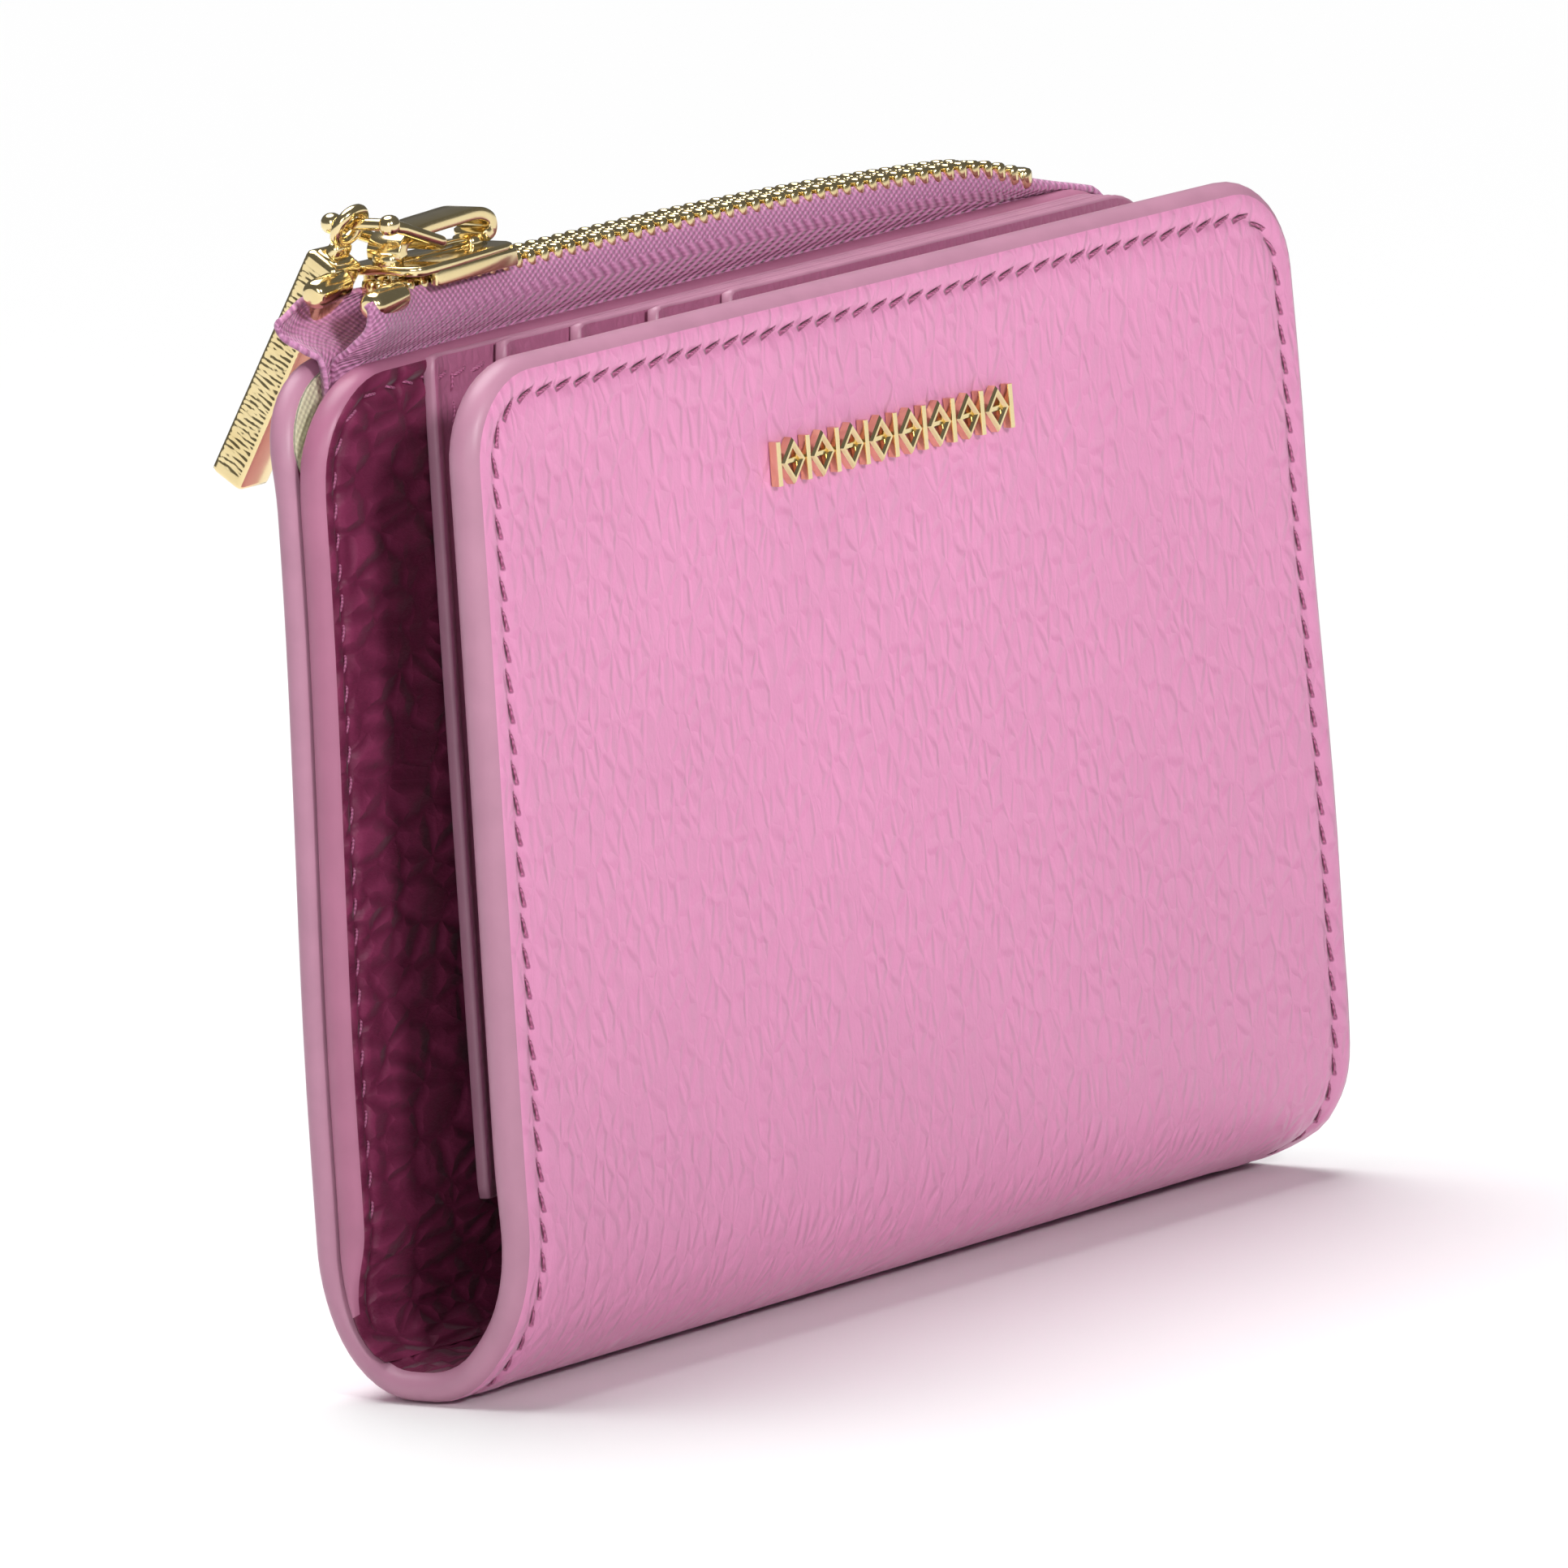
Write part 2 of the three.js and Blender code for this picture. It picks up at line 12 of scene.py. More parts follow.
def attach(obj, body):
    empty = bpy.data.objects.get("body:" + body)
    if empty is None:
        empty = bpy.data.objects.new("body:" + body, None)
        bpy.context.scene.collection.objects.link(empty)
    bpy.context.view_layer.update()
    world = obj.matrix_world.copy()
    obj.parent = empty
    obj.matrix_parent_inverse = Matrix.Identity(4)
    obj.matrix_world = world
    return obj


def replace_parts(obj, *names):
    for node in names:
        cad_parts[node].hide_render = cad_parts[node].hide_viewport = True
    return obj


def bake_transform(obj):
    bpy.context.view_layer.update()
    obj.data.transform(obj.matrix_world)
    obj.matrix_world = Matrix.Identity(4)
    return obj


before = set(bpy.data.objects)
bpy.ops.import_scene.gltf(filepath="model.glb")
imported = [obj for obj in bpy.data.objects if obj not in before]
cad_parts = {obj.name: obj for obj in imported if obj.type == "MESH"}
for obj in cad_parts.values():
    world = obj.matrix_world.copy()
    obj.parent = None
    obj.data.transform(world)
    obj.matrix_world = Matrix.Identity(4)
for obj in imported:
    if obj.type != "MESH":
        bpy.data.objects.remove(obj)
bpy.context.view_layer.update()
MM = 0.001

# ------------------------------------------------------------------ table, light and camera
# The wallet stands on its fold on a plain white table. A long lens looks at it from the front left and
# a little above, and turns slightly, as a hand-held camera does.
VIEW_AZIMUTH = math.radians(-52.665)
VIEW_ELEVATION = math.radians(9.123)
VIEW_ROLL = math.radians(-3.708)
VIEW_DISTANCE = 1907.3 * MM
LENS = 541.9
AIM = Vector((0, 0, 41.9)) * MM
SHIFT_RIGHT = 2.9 * MM
SHIFT_UP = 1.08 * MM
TABLE_HALF = 6          # metres
TABLE_GAP = 0.2 * MM    # the table lies this far under the fold


def aim_camera():
    back = Vector((math.sin(VIEW_AZIMUTH) * math.cos(VIEW_ELEVATION),
                   -math.cos(VIEW_AZIMUTH) * math.cos(VIEW_ELEVATION),
                   math.sin(VIEW_ELEVATION)))
    level = (-back).cross(Vector((0, 0, 1))).normalized()
    rise = level.cross(-back)
    right = math.cos(VIEW_ROLL) * level + math.sin(VIEW_ROLL) * rise
    up = -math.sin(VIEW_ROLL) * level + math.cos(VIEW_ROLL) * rise
    data = bpy.data.cameras.new("camera")
    data.lens = LENS
    data.sensor_width = 36
    data.clip_start = 0.1
    data.clip_end = 20
    camera = bpy.data.objects.new("camera", data)
    bpy.context.scene.collection.objects.link(camera)
    turn = Matrix((right, up, back)).transposed().to_4x4()
    place = AIM + back * VIEW_DISTANCE - right * SHIFT_RIGHT - up * SHIFT_UP
    camera.matrix_world = Matrix.Translation(place) @ turn
    bpy.context.scene.camera = camera


def add_light(name, kind, energy, towards, place=(0, 0, 0)):
    """A studio light at place, in metres, that shines along towards."""
    data = bpy.data.lights.new(name, kind)
    data.energy = energy
    lamp = bpy.data.objects.new(name, data)
    bpy.context.scene.collection.objects.link(lamp)
    lamp.location = place
    lamp.rotation_euler = Vector(towards).to_track_quat("-Z", "Y").to_euler()
    return data


aim_camera()
FILL_PLACE = Vector((-1.1, -0.5, 0.45))
fill = add_light("fill_light", "AREA", 3.0, AIM - FILL_PLACE, FILL_PLACE)
fill.shape = "RECTANGLE"
fill.size, fill.size_y = 0.5, 0.5

overhead = add_light("overhead_light", "SUN", 3.1, (-0.10, -0.30, -1))
overhead.angle = math.radians(50)

SNOOT_PLACE = Vector((-0.42, -0.86, 0.52))
SNOOT_AIM = Vector((-0.008, 0, 0.106))
snoot = add_light("snoot_light", "SPOT", 84, SNOOT_AIM - SNOOT_PLACE, SNOOT_PLACE)
snoot.spot_size = math.radians(10.6)
snoot.spot_blend = 1
snoot.shadow_soft_size = 0.12

world = bpy.data.worlds.new("studio")
bpy.context.scene.world = world
world.use_nodes = True
world.node_tree.nodes["Background"].inputs["Color"].default_value = (1, 1, 1, 1)
world.node_tree.nodes["Background"].inputs["Strength"].default_value = 0.13
bpy.context.scene.view_settings.view_transform = "Standard"


def new_material(name):
    """A material with an empty Principled shader; returns the material, its node tree and the shader."""
    material = bpy.data.materials.new(name)
    material.use_nodes = True
    return material, material.node_tree, material.node_tree.nodes["Principled BSDF"]


def noise(tree, vector, scale, detail=2):
    """A noise texture's node, on the vector or on the object's own box."""
    node = tree.nodes.new("ShaderNodeTexNoise")
    node.inputs["Scale"].default_value = scale
    node.inputs["Detail"].default_value = detail
    if vector:
        tree.links.new(vector, node.inputs["Vector"])
    return node


def ramp(tree, value, low, high, low_at=0, high_at=1):
    """Colours from low to high as the value goes from low_at to high_at."""
    node = tree.nodes.new("ShaderNodeValToRGB")
    for element, colour, at in zip(node.color_ramp.elements, (low, high), (low_at, high_at)):
        element.color = (*colour, 1)
        element.position = at
    tree.links.new(value, node.inputs["Fac"])
    return node.outputs["Color"]


def make_table():
    material, tree, shader = new_material("white_table")
    speckle = noise(tree, None, 40)
    tone = ramp(tree, speckle.outputs["Fac"], (0.93, 0.93, 0.93), (0.96, 0.96, 0.96))
    tree.links.new(tone, shader.inputs["Base Color"])
    shader.inputs["Roughness"].default_value = 0.75
    mesh = bpy.data.meshes.new("table")
    mesh.from_pydata([(-TABLE_HALF, -TABLE_HALF, 0), (TABLE_HALF, -TABLE_HALF, 0),
                      (TABLE_HALF, TABLE_HALF, 0), (-TABLE_HALF, TABLE_HALF, 0)], [], [(0, 1, 2, 3)])
    table = bpy.data.objects.new("table", mesh)
    bpy.context.scene.collection.objects.link(table)
    mesh.materials.append(material)
    table.location.z = -TABLE_GAP


make_table()

# ------------------------------------------------------------------ the shell
# One strip of pink leather, glued to a lining and cut with round corners, runs down the back, round the
# fold and up the front. Its cut edges are painted in a paler pink and burnished to a half round.
WIDTH = 110
HALF = WIDTH / 2
DEPTH_HALF = 11
FRONT_TOP = 83.3
OUTER_TOP = 82.8
CORNER_R = 8
SHELL_STEP = 1.2        # the mesh's spacing over the shell
BACK_BEND = dict(y=2.2, z=12, ry=8.8, rz=12)
FRONT_BEND = dict(y=0.6, z=15, ry=11.6, rz=15)
OUTER_WALL = 2.5
FOLD_THICK = 2.4
FRONT_THICK = 3.0
SEAM_INSET = 2.9
SEAM_PITCH = 2.45
STITCH_LEAN = -0.28

PINK = (0.70, 0.262, 0.462)
EDGE_PINK = (0.46, 0.215, 0.312)
INNER_PINK = (0.215, 0.028, 0.085)


def rounded_panel(x0, x1, v0, v1, radii, depths, step):
    """A flat rounded rectangle as rings that follow its outline and a grid inside them. radii are the
    lower left, upper left, upper right and lower right corners. Returns the points as (x, v, distance to
    the edge, distance along the edge), the faces and the outermost ring."""
    reach = max(radii)
    depths = [d for d in depths if d < reach - 0.3] + [reach]
    nx = max(2, round((x1 - x0 - 2 * reach) / step))
    nv = max(2, round((v1 - v0 - 2 * reach) / step))
    xs = np.linspace(x0 + reach, x1 - reach, nx + 1)
    vs = np.linspace(v0 + reach, v1 - reach, nv + 1)
    turns = 10

    def corner(cx, cv, sx, sv, r, d):
        """Points round one corner at inset d, from its upright side to its level side."""
        rho = max(r - d, 0)
        flat = reach - d - rho
        arc = rho * math.pi / 2
        out = []
        for i in range(turns + 1):
            s = (2 * flat + arc) * i / turns
            if s <= flat:
                a, b = 0, reach - s
            elif s <= flat + arc:
                t = (s - flat) / rho
                a, b = rho - rho * math.cos(t), d + rho - rho * math.sin(t)
            else:
                a, b = rho + (s - flat - arc), d
            out.append((cx + sx * (d + a), cv + sv * b))
        return out

    def ring(d):
        """Once round, starting up the left side from v0 to v1, then right, and back."""
        return (corner(x0, v0, 1, 1, radii[0], d)[::-1] + [(x0 + d, v) for v in vs[1:-1]]
                + corner(x0, v1, 1, -1, radii[1], d) + [(x, v1 - d) for x in xs[1:-1]]
                + corner(x1, v1, -1, -1, radii[2], d)[::-1] + [(x1 - d, v) for v in vs[::-1][1:-1]]
                + corner(x1, v0, -1, 1, radii[3], d) + [(x, v0 + d) for x in xs[::-1][1:-1]])

    base = np.array(ring(SEAM_INSET if SEAM_INSET < reach else 0))
    hops = np.hypot(*(np.roll(base, -1, 0) - base).T)
    along = np.concatenate([[0], np.cumsum(hops)[:-1]])
    count = len(base)
    points, faces, rings = [], [], []
    for d in depths[:-1]:
        rings.append(list(range(len(points), len(points) + count)))
        points += [(x, v, d, s) for (x, v), s in zip(ring(d), along)]
    grid = {}
    for j, v in enumerate(vs):
        for i, x in enumerate(xs):
            grid[i, j] = len(points)
            points.append((x, v, min(reach + min(i, nx - i, j, nv - j) * step, 40), 0))
    last = ([grid[0, 0]] * (turns + 1) + [grid[0, j] for j in range(1, nv)]
            + [grid[0, nv]] * (turns + 1) + [grid[i, nv] for i in range(1, nx)]
            + [grid[nx, nv]] * (turns + 1) + [grid[nx, j] for j in range(nv - 1, 0, -1)]
            + [grid[nx, 0]] * (turns + 1) + [grid[i, 0] for i in range(nx - 1, 0, -1)])
    rings.append(last)
    for a, b in zip(rings[:-1], rings[1:]):
        for k in range(count):
            m = (k + 1) % count
            quad = [a[k], a[m], b[m], b[k]]
            faces.append([q for n, q in enumerate(quad) if q != quad[n - 1]])
    for j in range(nv):
        for i in range(nx):
            faces.append([grid[i, j], grid[i, j + 1], grid[i + 1, j + 1], grid[i + 1, j]])
    return np.array(points), faces, rings[0]


def even_stitches(points, rim):
    """Stretches the distances along the edge so that a whole number of stitches goes round."""
    total = points[rim, 3].max() + 0.5
    points[:, 3] *= round(total / SEAM_PITCH) * SEAM_PITCH / total


def edge_rounding(thick, steps=6):
    """Insets and half heights of a burnished half-round edge."""
    turn = [math.pi / 2 * k / steps for k in range(steps + 1)]
    return [thick / 2 * (1 - math.cos(t)) for t in turn], [math.sin(t) for t in turn]


def bend_arc(bend, side, count=60):
    """Points (y, z) down a bend from its leaf to the underside."""
    t = np.linspace(0, math.pi / 2, count)
    return np.stack([bend["y"] + side * bend["ry"] * np.cos(t), bend["z"] - bend["rz"] * np.sin(t)], -1)


def shell_route():
    """The shell's outer surface in section, from the top of the back leaf round to the front's top."""
    back = bend_arc(BACK_BEND, 1)
    front = bend_arc(FRONT_BEND, -1)[::-1]
    top_back = np.array([[DEPTH_HALF, OUTER_TOP]])
    top_front = np.array([[-DEPTH_HALF, FRONT_TOP]])
    route = np.concatenate([top_back, back, front, top_front])
    hops = np.hypot(*np.diff(route, axis=0).T)
    return route, np.concatenate([[0], np.cumsum(hops)])


ROUTE, ROUTE_V = shell_route()
SHELL_LENGTH = ROUTE_V[-1]
BACK_BEND_V = OUTER_TOP - BACK_BEND["z"]
FRONT_BEND_V = SHELL_LENGTH - (FRONT_TOP - FRONT_BEND["z"])
FOLD_V = float(np.interp(0, (ROUTE[60:62, 0] - (BACK_BEND["y"] + FRONT_BEND["y"]) / 2) * -1,
                         ROUTE_V[60:62]))


def on_route(v):
    """Places and outward normals in (y, z) at the lengths v along the shell."""
    v = np.asarray(v, float)
    y = np.interp(v, ROUTE_V, ROUTE[:, 0])
    z = np.interp(v, ROUTE_V, ROUTE[:, 1])
    h = 0.4
    ty = np.interp(v + h, ROUTE_V, ROUTE[:, 0]) - np.interp(v - h, ROUTE_V, ROUTE[:, 0])
    tz = np.interp(v + h, ROUTE_V, ROUTE[:, 1]) - np.interp(v - h, ROUTE_V, ROUTE[:, 1])
    n = np.hypot(ty, tz)
    return y, z, -tz / n, ty / n


def smooth_step(a, b, x):
    t = np.clip((np.asarray(x, float) - a) / (b - a), 0, 1)
    return t * t * (3 - 2 * t)


def shell_thickness(v):
    to_fold = smooth_step(BACK_BEND_V - 6, BACK_BEND_V + 8, v)
    to_front = smooth_step(FRONT_BEND_V - 10, FRONT_BEND_V + 6, v)
    return OUTER_WALL + (FOLD_THICK - OUTER_WALL) * to_fold + (FRONT_THICK - FOLD_THICK) * to_front


def wall_sway(x, z):
    """How far the zip pocket's walls stand apart at (x, z), from nothing lower down."""
    left = smooth_step(-26, -53, x) * smooth_step(71, 84, z)
    right = smooth_step(40, 53, x) * smooth_step(73, 84, z)
    return left + 0.45 * right


def leather_wave(x, z, seed):
    """The slow unevenness of a hand-laid leather panel."""
    return (0.11 * np.sin(x * 0.057 + seed) * np.cos(z * 0.071 + 1.7 * seed)
            + 0.06 * np.sin(x * 0.13 - z * 0.05 + 2.3 * seed))


def leaf_bow(x, z, back):
    """Soft leather never stands true: the fold is fullest low down, and the cover leans in at the left."""
    across = np.clip(x / WIDTH + 0.5, 0, 1)
    foot = 1.2 * (1 - across)
    low = 1.1 * (1 - smooth_step(26, 62, z)) + 0.9 * (1 - smooth_step(6, 14, z))
    cover = 1.6 * (1 - across) + (0.6 * smooth_step(60, 84, z) - low) * across
    cover = foot + (cover - foot) * smooth_step(0, 4, z)
    leaf = foot + (1 - smooth_step(22, 68, z) - foot) * smooth_step(0, 9, z)
    return np.where(back, leaf, cover)


def place_on_shell(x, v, w, part=1.25):
    """Points at (x, v) on the shell, raised by w from its outer surface, in metres. part is how far the
    point follows the parting of the pocket's walls."""
    y, z, ny, nz = on_route(v)
    back = v < FOLD_V
    wave = leather_wave(x, z, 0.8) * smooth_step(4, 22, z)
    sway = np.where(back, part * wall_sway(x, z) + 0.5 * wave, wave) + leaf_bow(x, z, back)
    flat_floor = np.clip(z + nz * w, 0, None)
    return np.stack([x, y + ny * w + sway, flat_floor], -1) * MM


def coarse_pebbles(x, v, depth, size=3.4):
    """Height of a coarse grain: rounded pebbles, wider than they are high, with creases between them."""
    rows = np.floor(v / (size * 0.72)).astype(int)
    best = np.full(np.shape(x), 9.0)
    second = np.full(np.shape(x), 9.0)
    for dj in (-1, 0, 1):
        j = rows + dj
        columns = np.floor(x / size + 0.5 * (j % 2)).astype(int)
        for di in (-1, 0, 1):
            i = columns + di
            jitter = np.sin(i * 127.1 + j * 311.7) * 43758.5453
            jitter -= np.floor(jitter)
            other = np.sin(i * 269.5 + j * 183.3) * 24634.6345
            other -= np.floor(other)
            cx = (i + 0.5 - 0.5 * (j % 2) + 0.7 * (jitter - 0.5)) * size
            cv = (j + 0.5 + 0.7 * (other - 0.5)) * size * 0.72
            far = np.hypot((x - cx) / size, (v - cv) / (size * 0.72))
            second = np.minimum(second, np.maximum(best, far))
            best = np.minimum(best, far)
    edge = np.clip((second - best) / 0.34, 0, 1)
    return depth * (edge * (2 - edge) - 0.6)


def swell(d):
    """Leather puffs up beside a seam and dips under its thread."""
    groove = 0.24 * np.exp(-((d - SEAM_INSET) / 0.38) ** 2)
    puff = 0.12 * np.exp(-((d - SEAM_INSET - 2.2) / 1.6) ** 2)
    rim = 0.10 * np.exp(-((d - SEAM_INSET + 1.3) / 0.6) ** 2)
    return puff + rim - groove


def mesh_piece(name, points, faces, materials, indices=None, uv=None, floats=None, smooth=True):
    """A mesh object with its materials, its UV map named flat, in decimetres, and float attributes."""
    mesh = bpy.data.meshes.new(name)
    mesh.from_pydata([tuple(p) for p in points], [], faces)
    for m in materials:
        mesh.materials.append(m)
    if indices is not None:
        mesh.polygons.foreach_set("material_index", indices)
    mesh.polygons.foreach_set("use_smooth", [smooth] * len(mesh.polygons))
    if uv is not None:
        layer = mesh.uv_layers.new(name="flat")
        corners = np.empty(len(mesh.loops), np.int32)
        mesh.loops.foreach_get("vertex_index", corners)
        layer.data.foreach_set("uv", (np.asarray(uv)[corners] * 0.01).astype(np.float32).ravel())
    for key, values in (floats or {}).items():
        mesh.attributes.new(key, "FLOAT", "POINT").data.foreach_set("value", np.asarray(values, np.float32))
    mesh.validate()
    shape = bmesh.new()
    shape.from_mesh(mesh)
    bmesh.ops.recalc_face_normals(shape, faces=shape.faces)
    shape.to_mesh(mesh)
    shape.free()
    obj = bpy.data.objects.new(name, mesh)
    bpy.context.scene.collection.objects.link(obj)
    return obj


def node_group(name, inputs, outputs):
    """An empty shader node group with the named sockets, each given as (name, kind, value)."""
    group = bpy.data.node_groups.new(name, "ShaderNodeTree")
    for label, kind, value in inputs:
        socket = group.interface.new_socket(label, in_out="INPUT", socket_type=kind)
        if value is not None:
            socket.default_value = value
    for label, kind in outputs:
        group.interface.new_socket(label, in_out="OUTPUT", socket_type=kind)
    return group, group.nodes.new("NodeGroupInput"), group.nodes.new("NodeGroupOutput")


def math_node(tree, operation, *values):
    """A Math node whose inputs are sockets or numbers; returns its output."""
    node = tree.nodes.new("ShaderNodeMath")
    node.operation = operation
    for socket, value in zip(node.inputs, values):
        if isinstance(value, (int, float)):
            socket.default_value = value
        else:
            tree.links.new(value, socket)
    return node.outputs[0]


def smooth_range(tree, value, low, high, to_low=0):
    """From to_low to 1 as the value goes from low to high."""
    node = tree.nodes.new("ShaderNodeMapRange")
    node.interpolation_type = "SMOOTHSTEP"
    node.inputs["From Min"].default_value = low
    node.inputs["From Max"].default_value = high
    node.inputs["To Min"].default_value = to_low
    tree.links.new(value, node.inputs["Value"])
    return node.outputs[0]


def darkened(tree, colour, tint, factor):
    """The colour multiplied by tint where factor is 1."""
    node = tree.nodes.new("ShaderNodeMix")
    node.data_type = "RGBA"
    node.blend_type = "MULTIPLY"
    tree.links.new(factor, node.inputs["Factor"])
    tree.links.new(colour, node.inputs["A"])
    node.inputs["B"].default_value = (*tint, 1)
    return node.outputs["Result"]


def add_bump(tree, shader, height, depth):
    """A height, in parts of depth in millimetres, as bump on the shader."""
    node = tree.nodes.new("ShaderNodeBump")
    node.inputs["Distance"].default_value = depth * MM
    tree.links.new(height, node.inputs["Height"])
    tree.links.new(node.outputs[0], shader.inputs["Normal"])


def coordinates(tree, output="flat"):
    """The flat UV map in decimetres, or a named output of the texture coordinates."""
    if output == "flat":
        node = tree.nodes.new("ShaderNodeUVMap")
        node.uv_map = "flat"
        return node.outputs[0]
    return tree.nodes.new("ShaderNodeTexCoord").outputs[output]


def pebble_grain():
    """Leather grain: pebbles bounded by creases, with finer pores on them. Stretch above 1 draws the
    pebbles out along the strip. Height is for a bump, Crease is 1 in the creases, where the leather paints
    its shade."""
    group, given, out = node_group(
        "pebble_grain",
        [("Vector", "NodeSocketVector", None), ("Pebble", "NodeSocketFloat", 1.0),
         ("Stretch", "NodeSocketFloat", 1.0), ("Wander", "NodeSocketFloat", 0.3)],
        [("Height", "NodeSocketFloat"), ("Crease", "NodeSocketFloat"), ("Tone", "NodeSocketFloat")])
    links = group.links
    split = group.nodes.new("ShaderNodeSeparateXYZ")
    links.new(given.outputs["Vector"], split.inputs[0])
    size = math_node(group, "DIVIDE", 100.0, given.outputs["Pebble"])
    flat = group.nodes.new("ShaderNodeCombineXYZ")
    links.new(math_node(group, "MULTIPLY", split.outputs[0], size), flat.inputs[0])
    y = math_node(group, "MULTIPLY", split.outputs[1], size)
    links.new(math_node(group, "DIVIDE", y, given.outputs["Stretch"]), flat.inputs[1])
    drift = noise(group, flat.outputs[0], 0.55)
    spread = group.nodes.new("ShaderNodeCombineXYZ")
    links.new(given.outputs["Wander"], spread.inputs[0])
    links.new(given.outputs["Wander"], spread.inputs[1])
    push = group.nodes.new("ShaderNodeVectorMath")
    push.operation = "MULTIPLY_ADD"
    for socket, source in zip(push.inputs, (drift.outputs["Color"], spread.outputs[0], flat.outputs[0])):
        links.new(source, socket)
    cells, blobs = [group.nodes.new("ShaderNodeTexVoronoi") for _ in range(2)]
    cells.feature, blobs.feature = "DISTANCE_TO_EDGE", "SMOOTH_F1"
    for texture in (cells, blobs):
        texture.inputs["Scale"].default_value = 1
        links.new(push.outputs[0], texture.inputs["Vector"])
    blobs.inputs["Smoothness"].default_value = 0.6
    pores = noise(group, flat.outputs[0], 3.1, 4)
    wall = smooth_range(group, cells.outputs["Distance"], 0, 0.3)
    dome = math_node(group, "SUBTRACT", 1.0, blobs.outputs["Distance"])
    body = math_node(group, "MULTIPLY_ADD", dome, 0.6, math_node(group, "MULTIPLY", wall, 0.55))
    height = math_node(group, "MULTIPLY_ADD", pores.outputs["Fac"], 0.28, body)
    links.new(height, out.inputs["Height"])
    links.new(math_node(group, "SUBTRACT", 1.0, wall), out.inputs["Crease"])
    links.new(pores.outputs["Fac"], out.inputs["Tone"])
    return group


def seam_groove_and_shade():
    """The pull of the thread along a seam, from the distance to the edge and the distance along it: Dark
    is 1 under a stitch and at its needle holes, where the thread lies in its slot. It sinks the groove in
    the bump and darkens the colour there as painted shade in the slot."""
    group, given, out = node_group(
        "seam_groove_and_shade",
        [("Edge", "NodeSocketFloat", 9.0), ("Along", "NodeSocketFloat", 0.0),
         ("Inset", "NodeSocketFloat", 2.9), ("Pitch", "NodeSocketFloat", 2.45)],
        [("Dark", "NodeSocketFloat")])
    off = math_node(group, "SUBTRACT", given.outputs["Edge"], given.outputs["Inset"])
    turns = math_node(group, "DIVIDE", given.outputs["Along"], given.outputs["Pitch"])
    phase = math_node(group, "SUBTRACT", math_node(group, "FRACT", turns), 0.5)
    along = math_node(group, "MULTIPLY", phase, given.outputs["Pitch"])
    across = math_node(group, "ABSOLUTE", math_node(group, "MULTIPLY_ADD", along, -STITCH_LEAN, off))
    slot = smooth_range(group, across, 0.25, 0.06)
    reach = smooth_range(group, math_node(group, "ABSOLUTE", along), 1.12, 0.85)
    group.links.new(math_node(group, "MULTIPLY", slot, reach), out.inputs["Dark"])
    return group


PEBBLE_GRAIN = pebble_grain()
SEAM_GROOVE_AND_SHADE = seam_groove_and_shade()


def scaled(colour, k):
    return tuple(min(c * k, 1) for c in colour)


def leather(name, colour, pebble, stretch, wander, depth, crease_shade, rough, shine, seam=True):
    """Grained leather: its colour; the size of its pebbles in millimetres, their stretch and how far they
    wander; the grain's depth in millimetres; how dark the painted shade in its creases is; roughness and
    shine."""
    material, tree, shader = new_material(name)
    links = tree.links
    where = coordinates(tree)
    grain = tree.nodes.new("ShaderNodeGroup")
    grain.node_tree = PEBBLE_GRAIN
    for label, value in (("Pebble", pebble), ("Stretch", stretch), ("Wander", wander)):
        grain.inputs[label].default_value = value
    links.new(where, grain.inputs["Vector"])
    patch = noise(tree, where, 5, 3)
    tone = ramp(tree, patch.outputs["Fac"], scaled(colour, 0.97), scaled(colour, 1.02), 0.3, 0.7)
    # Painted shade: the creases between the pebbles are darkened.
    creased = math_node(tree, "MULTIPLY", grain.outputs["Crease"], crease_shade)
    tone = darkened(tree, tone, (0.42, 0.25, 0.36), creased)
    height = grain.outputs["Height"]
    if seam:
        marks = tree.nodes.new("ShaderNodeGroup")
        marks.node_tree = SEAM_GROOVE_AND_SHADE
        marks.inputs["Inset"].default_value = SEAM_INSET
        marks.inputs["Pitch"].default_value = SEAM_PITCH
        for label, key in (("Edge", "edge_distance"), ("Along", "seam_length")):
            reader = tree.nodes.new("ShaderNodeAttribute")
            reader.attribute_name = key
            links.new(reader.outputs["Fac"], marks.inputs[label])
        # Painted shade: the leather is darkened in the stitch slots, as if shade lay in them.
        under = math_node(tree, "MULTIPLY", marks.outputs["Dark"], 0.95)
        tone = darkened(tree, tone, (0.64, 0.40, 0.51), under)
        height = math_node(tree, "MULTIPLY_ADD", marks.outputs["Dark"], -1.6, height)
    links.new(tone, shader.inputs["Base Color"])
    links.new(math_node(tree, "MULTIPLY_ADD", grain.outputs["Tone"], 0.2, rough - 0.1),
              shader.inputs["Roughness"])
    add_bump(tree, shader, height, depth)
    shader.inputs["Specular IOR Level"].default_value = shine
    shader.inputs["Sheen Weight"].default_value = 0.25 * shine
    shader.inputs["Sheen Roughness"].default_value = 0.4
    return material


def painted_edge(name, colour):
    """Edge paint: smooth and satin, a little uneven where it was brushed on and burnished."""
    material, tree, shader = new_material(name)
    brushed = noise(tree, coordinates(tree, "Object"), 260, 3).outputs["Fac"]
    tone = ramp(tree, brushed, scaled(colour, 0.93), scaled(colour, 1.05), 0.3, 0.7)
    tree.links.new(tone, shader.inputs["Base Color"])
    add_bump(tree, shader, brushed, 0.05)
    shader.inputs["Roughness"].default_value = 0.42
    return material


OUTER_LEATHER = leather("outer_leather", PINK, 1.45, 1.9, 0.6, 0.165, 0.03, 0.38, 0.6)
INNER_LEATHER = leather("inner_leather", INNER_PINK, 4.1, 0.66, 0.3, 0.65, 0.62, 0.52, 0.26, seam=False)
EDGE_PAINT = painted_edge("edge_paint", EDGE_PINK)


BACK_SHIFT = 37.3       # a panel's back has its own place on the flat map, in millimetres
BACK_DISTANCE = 50      # and is marked as this much further from the edge, which keeps seams off it


def level(x, v, d):
    """No relief."""
    return 0 * np.asarray(d)


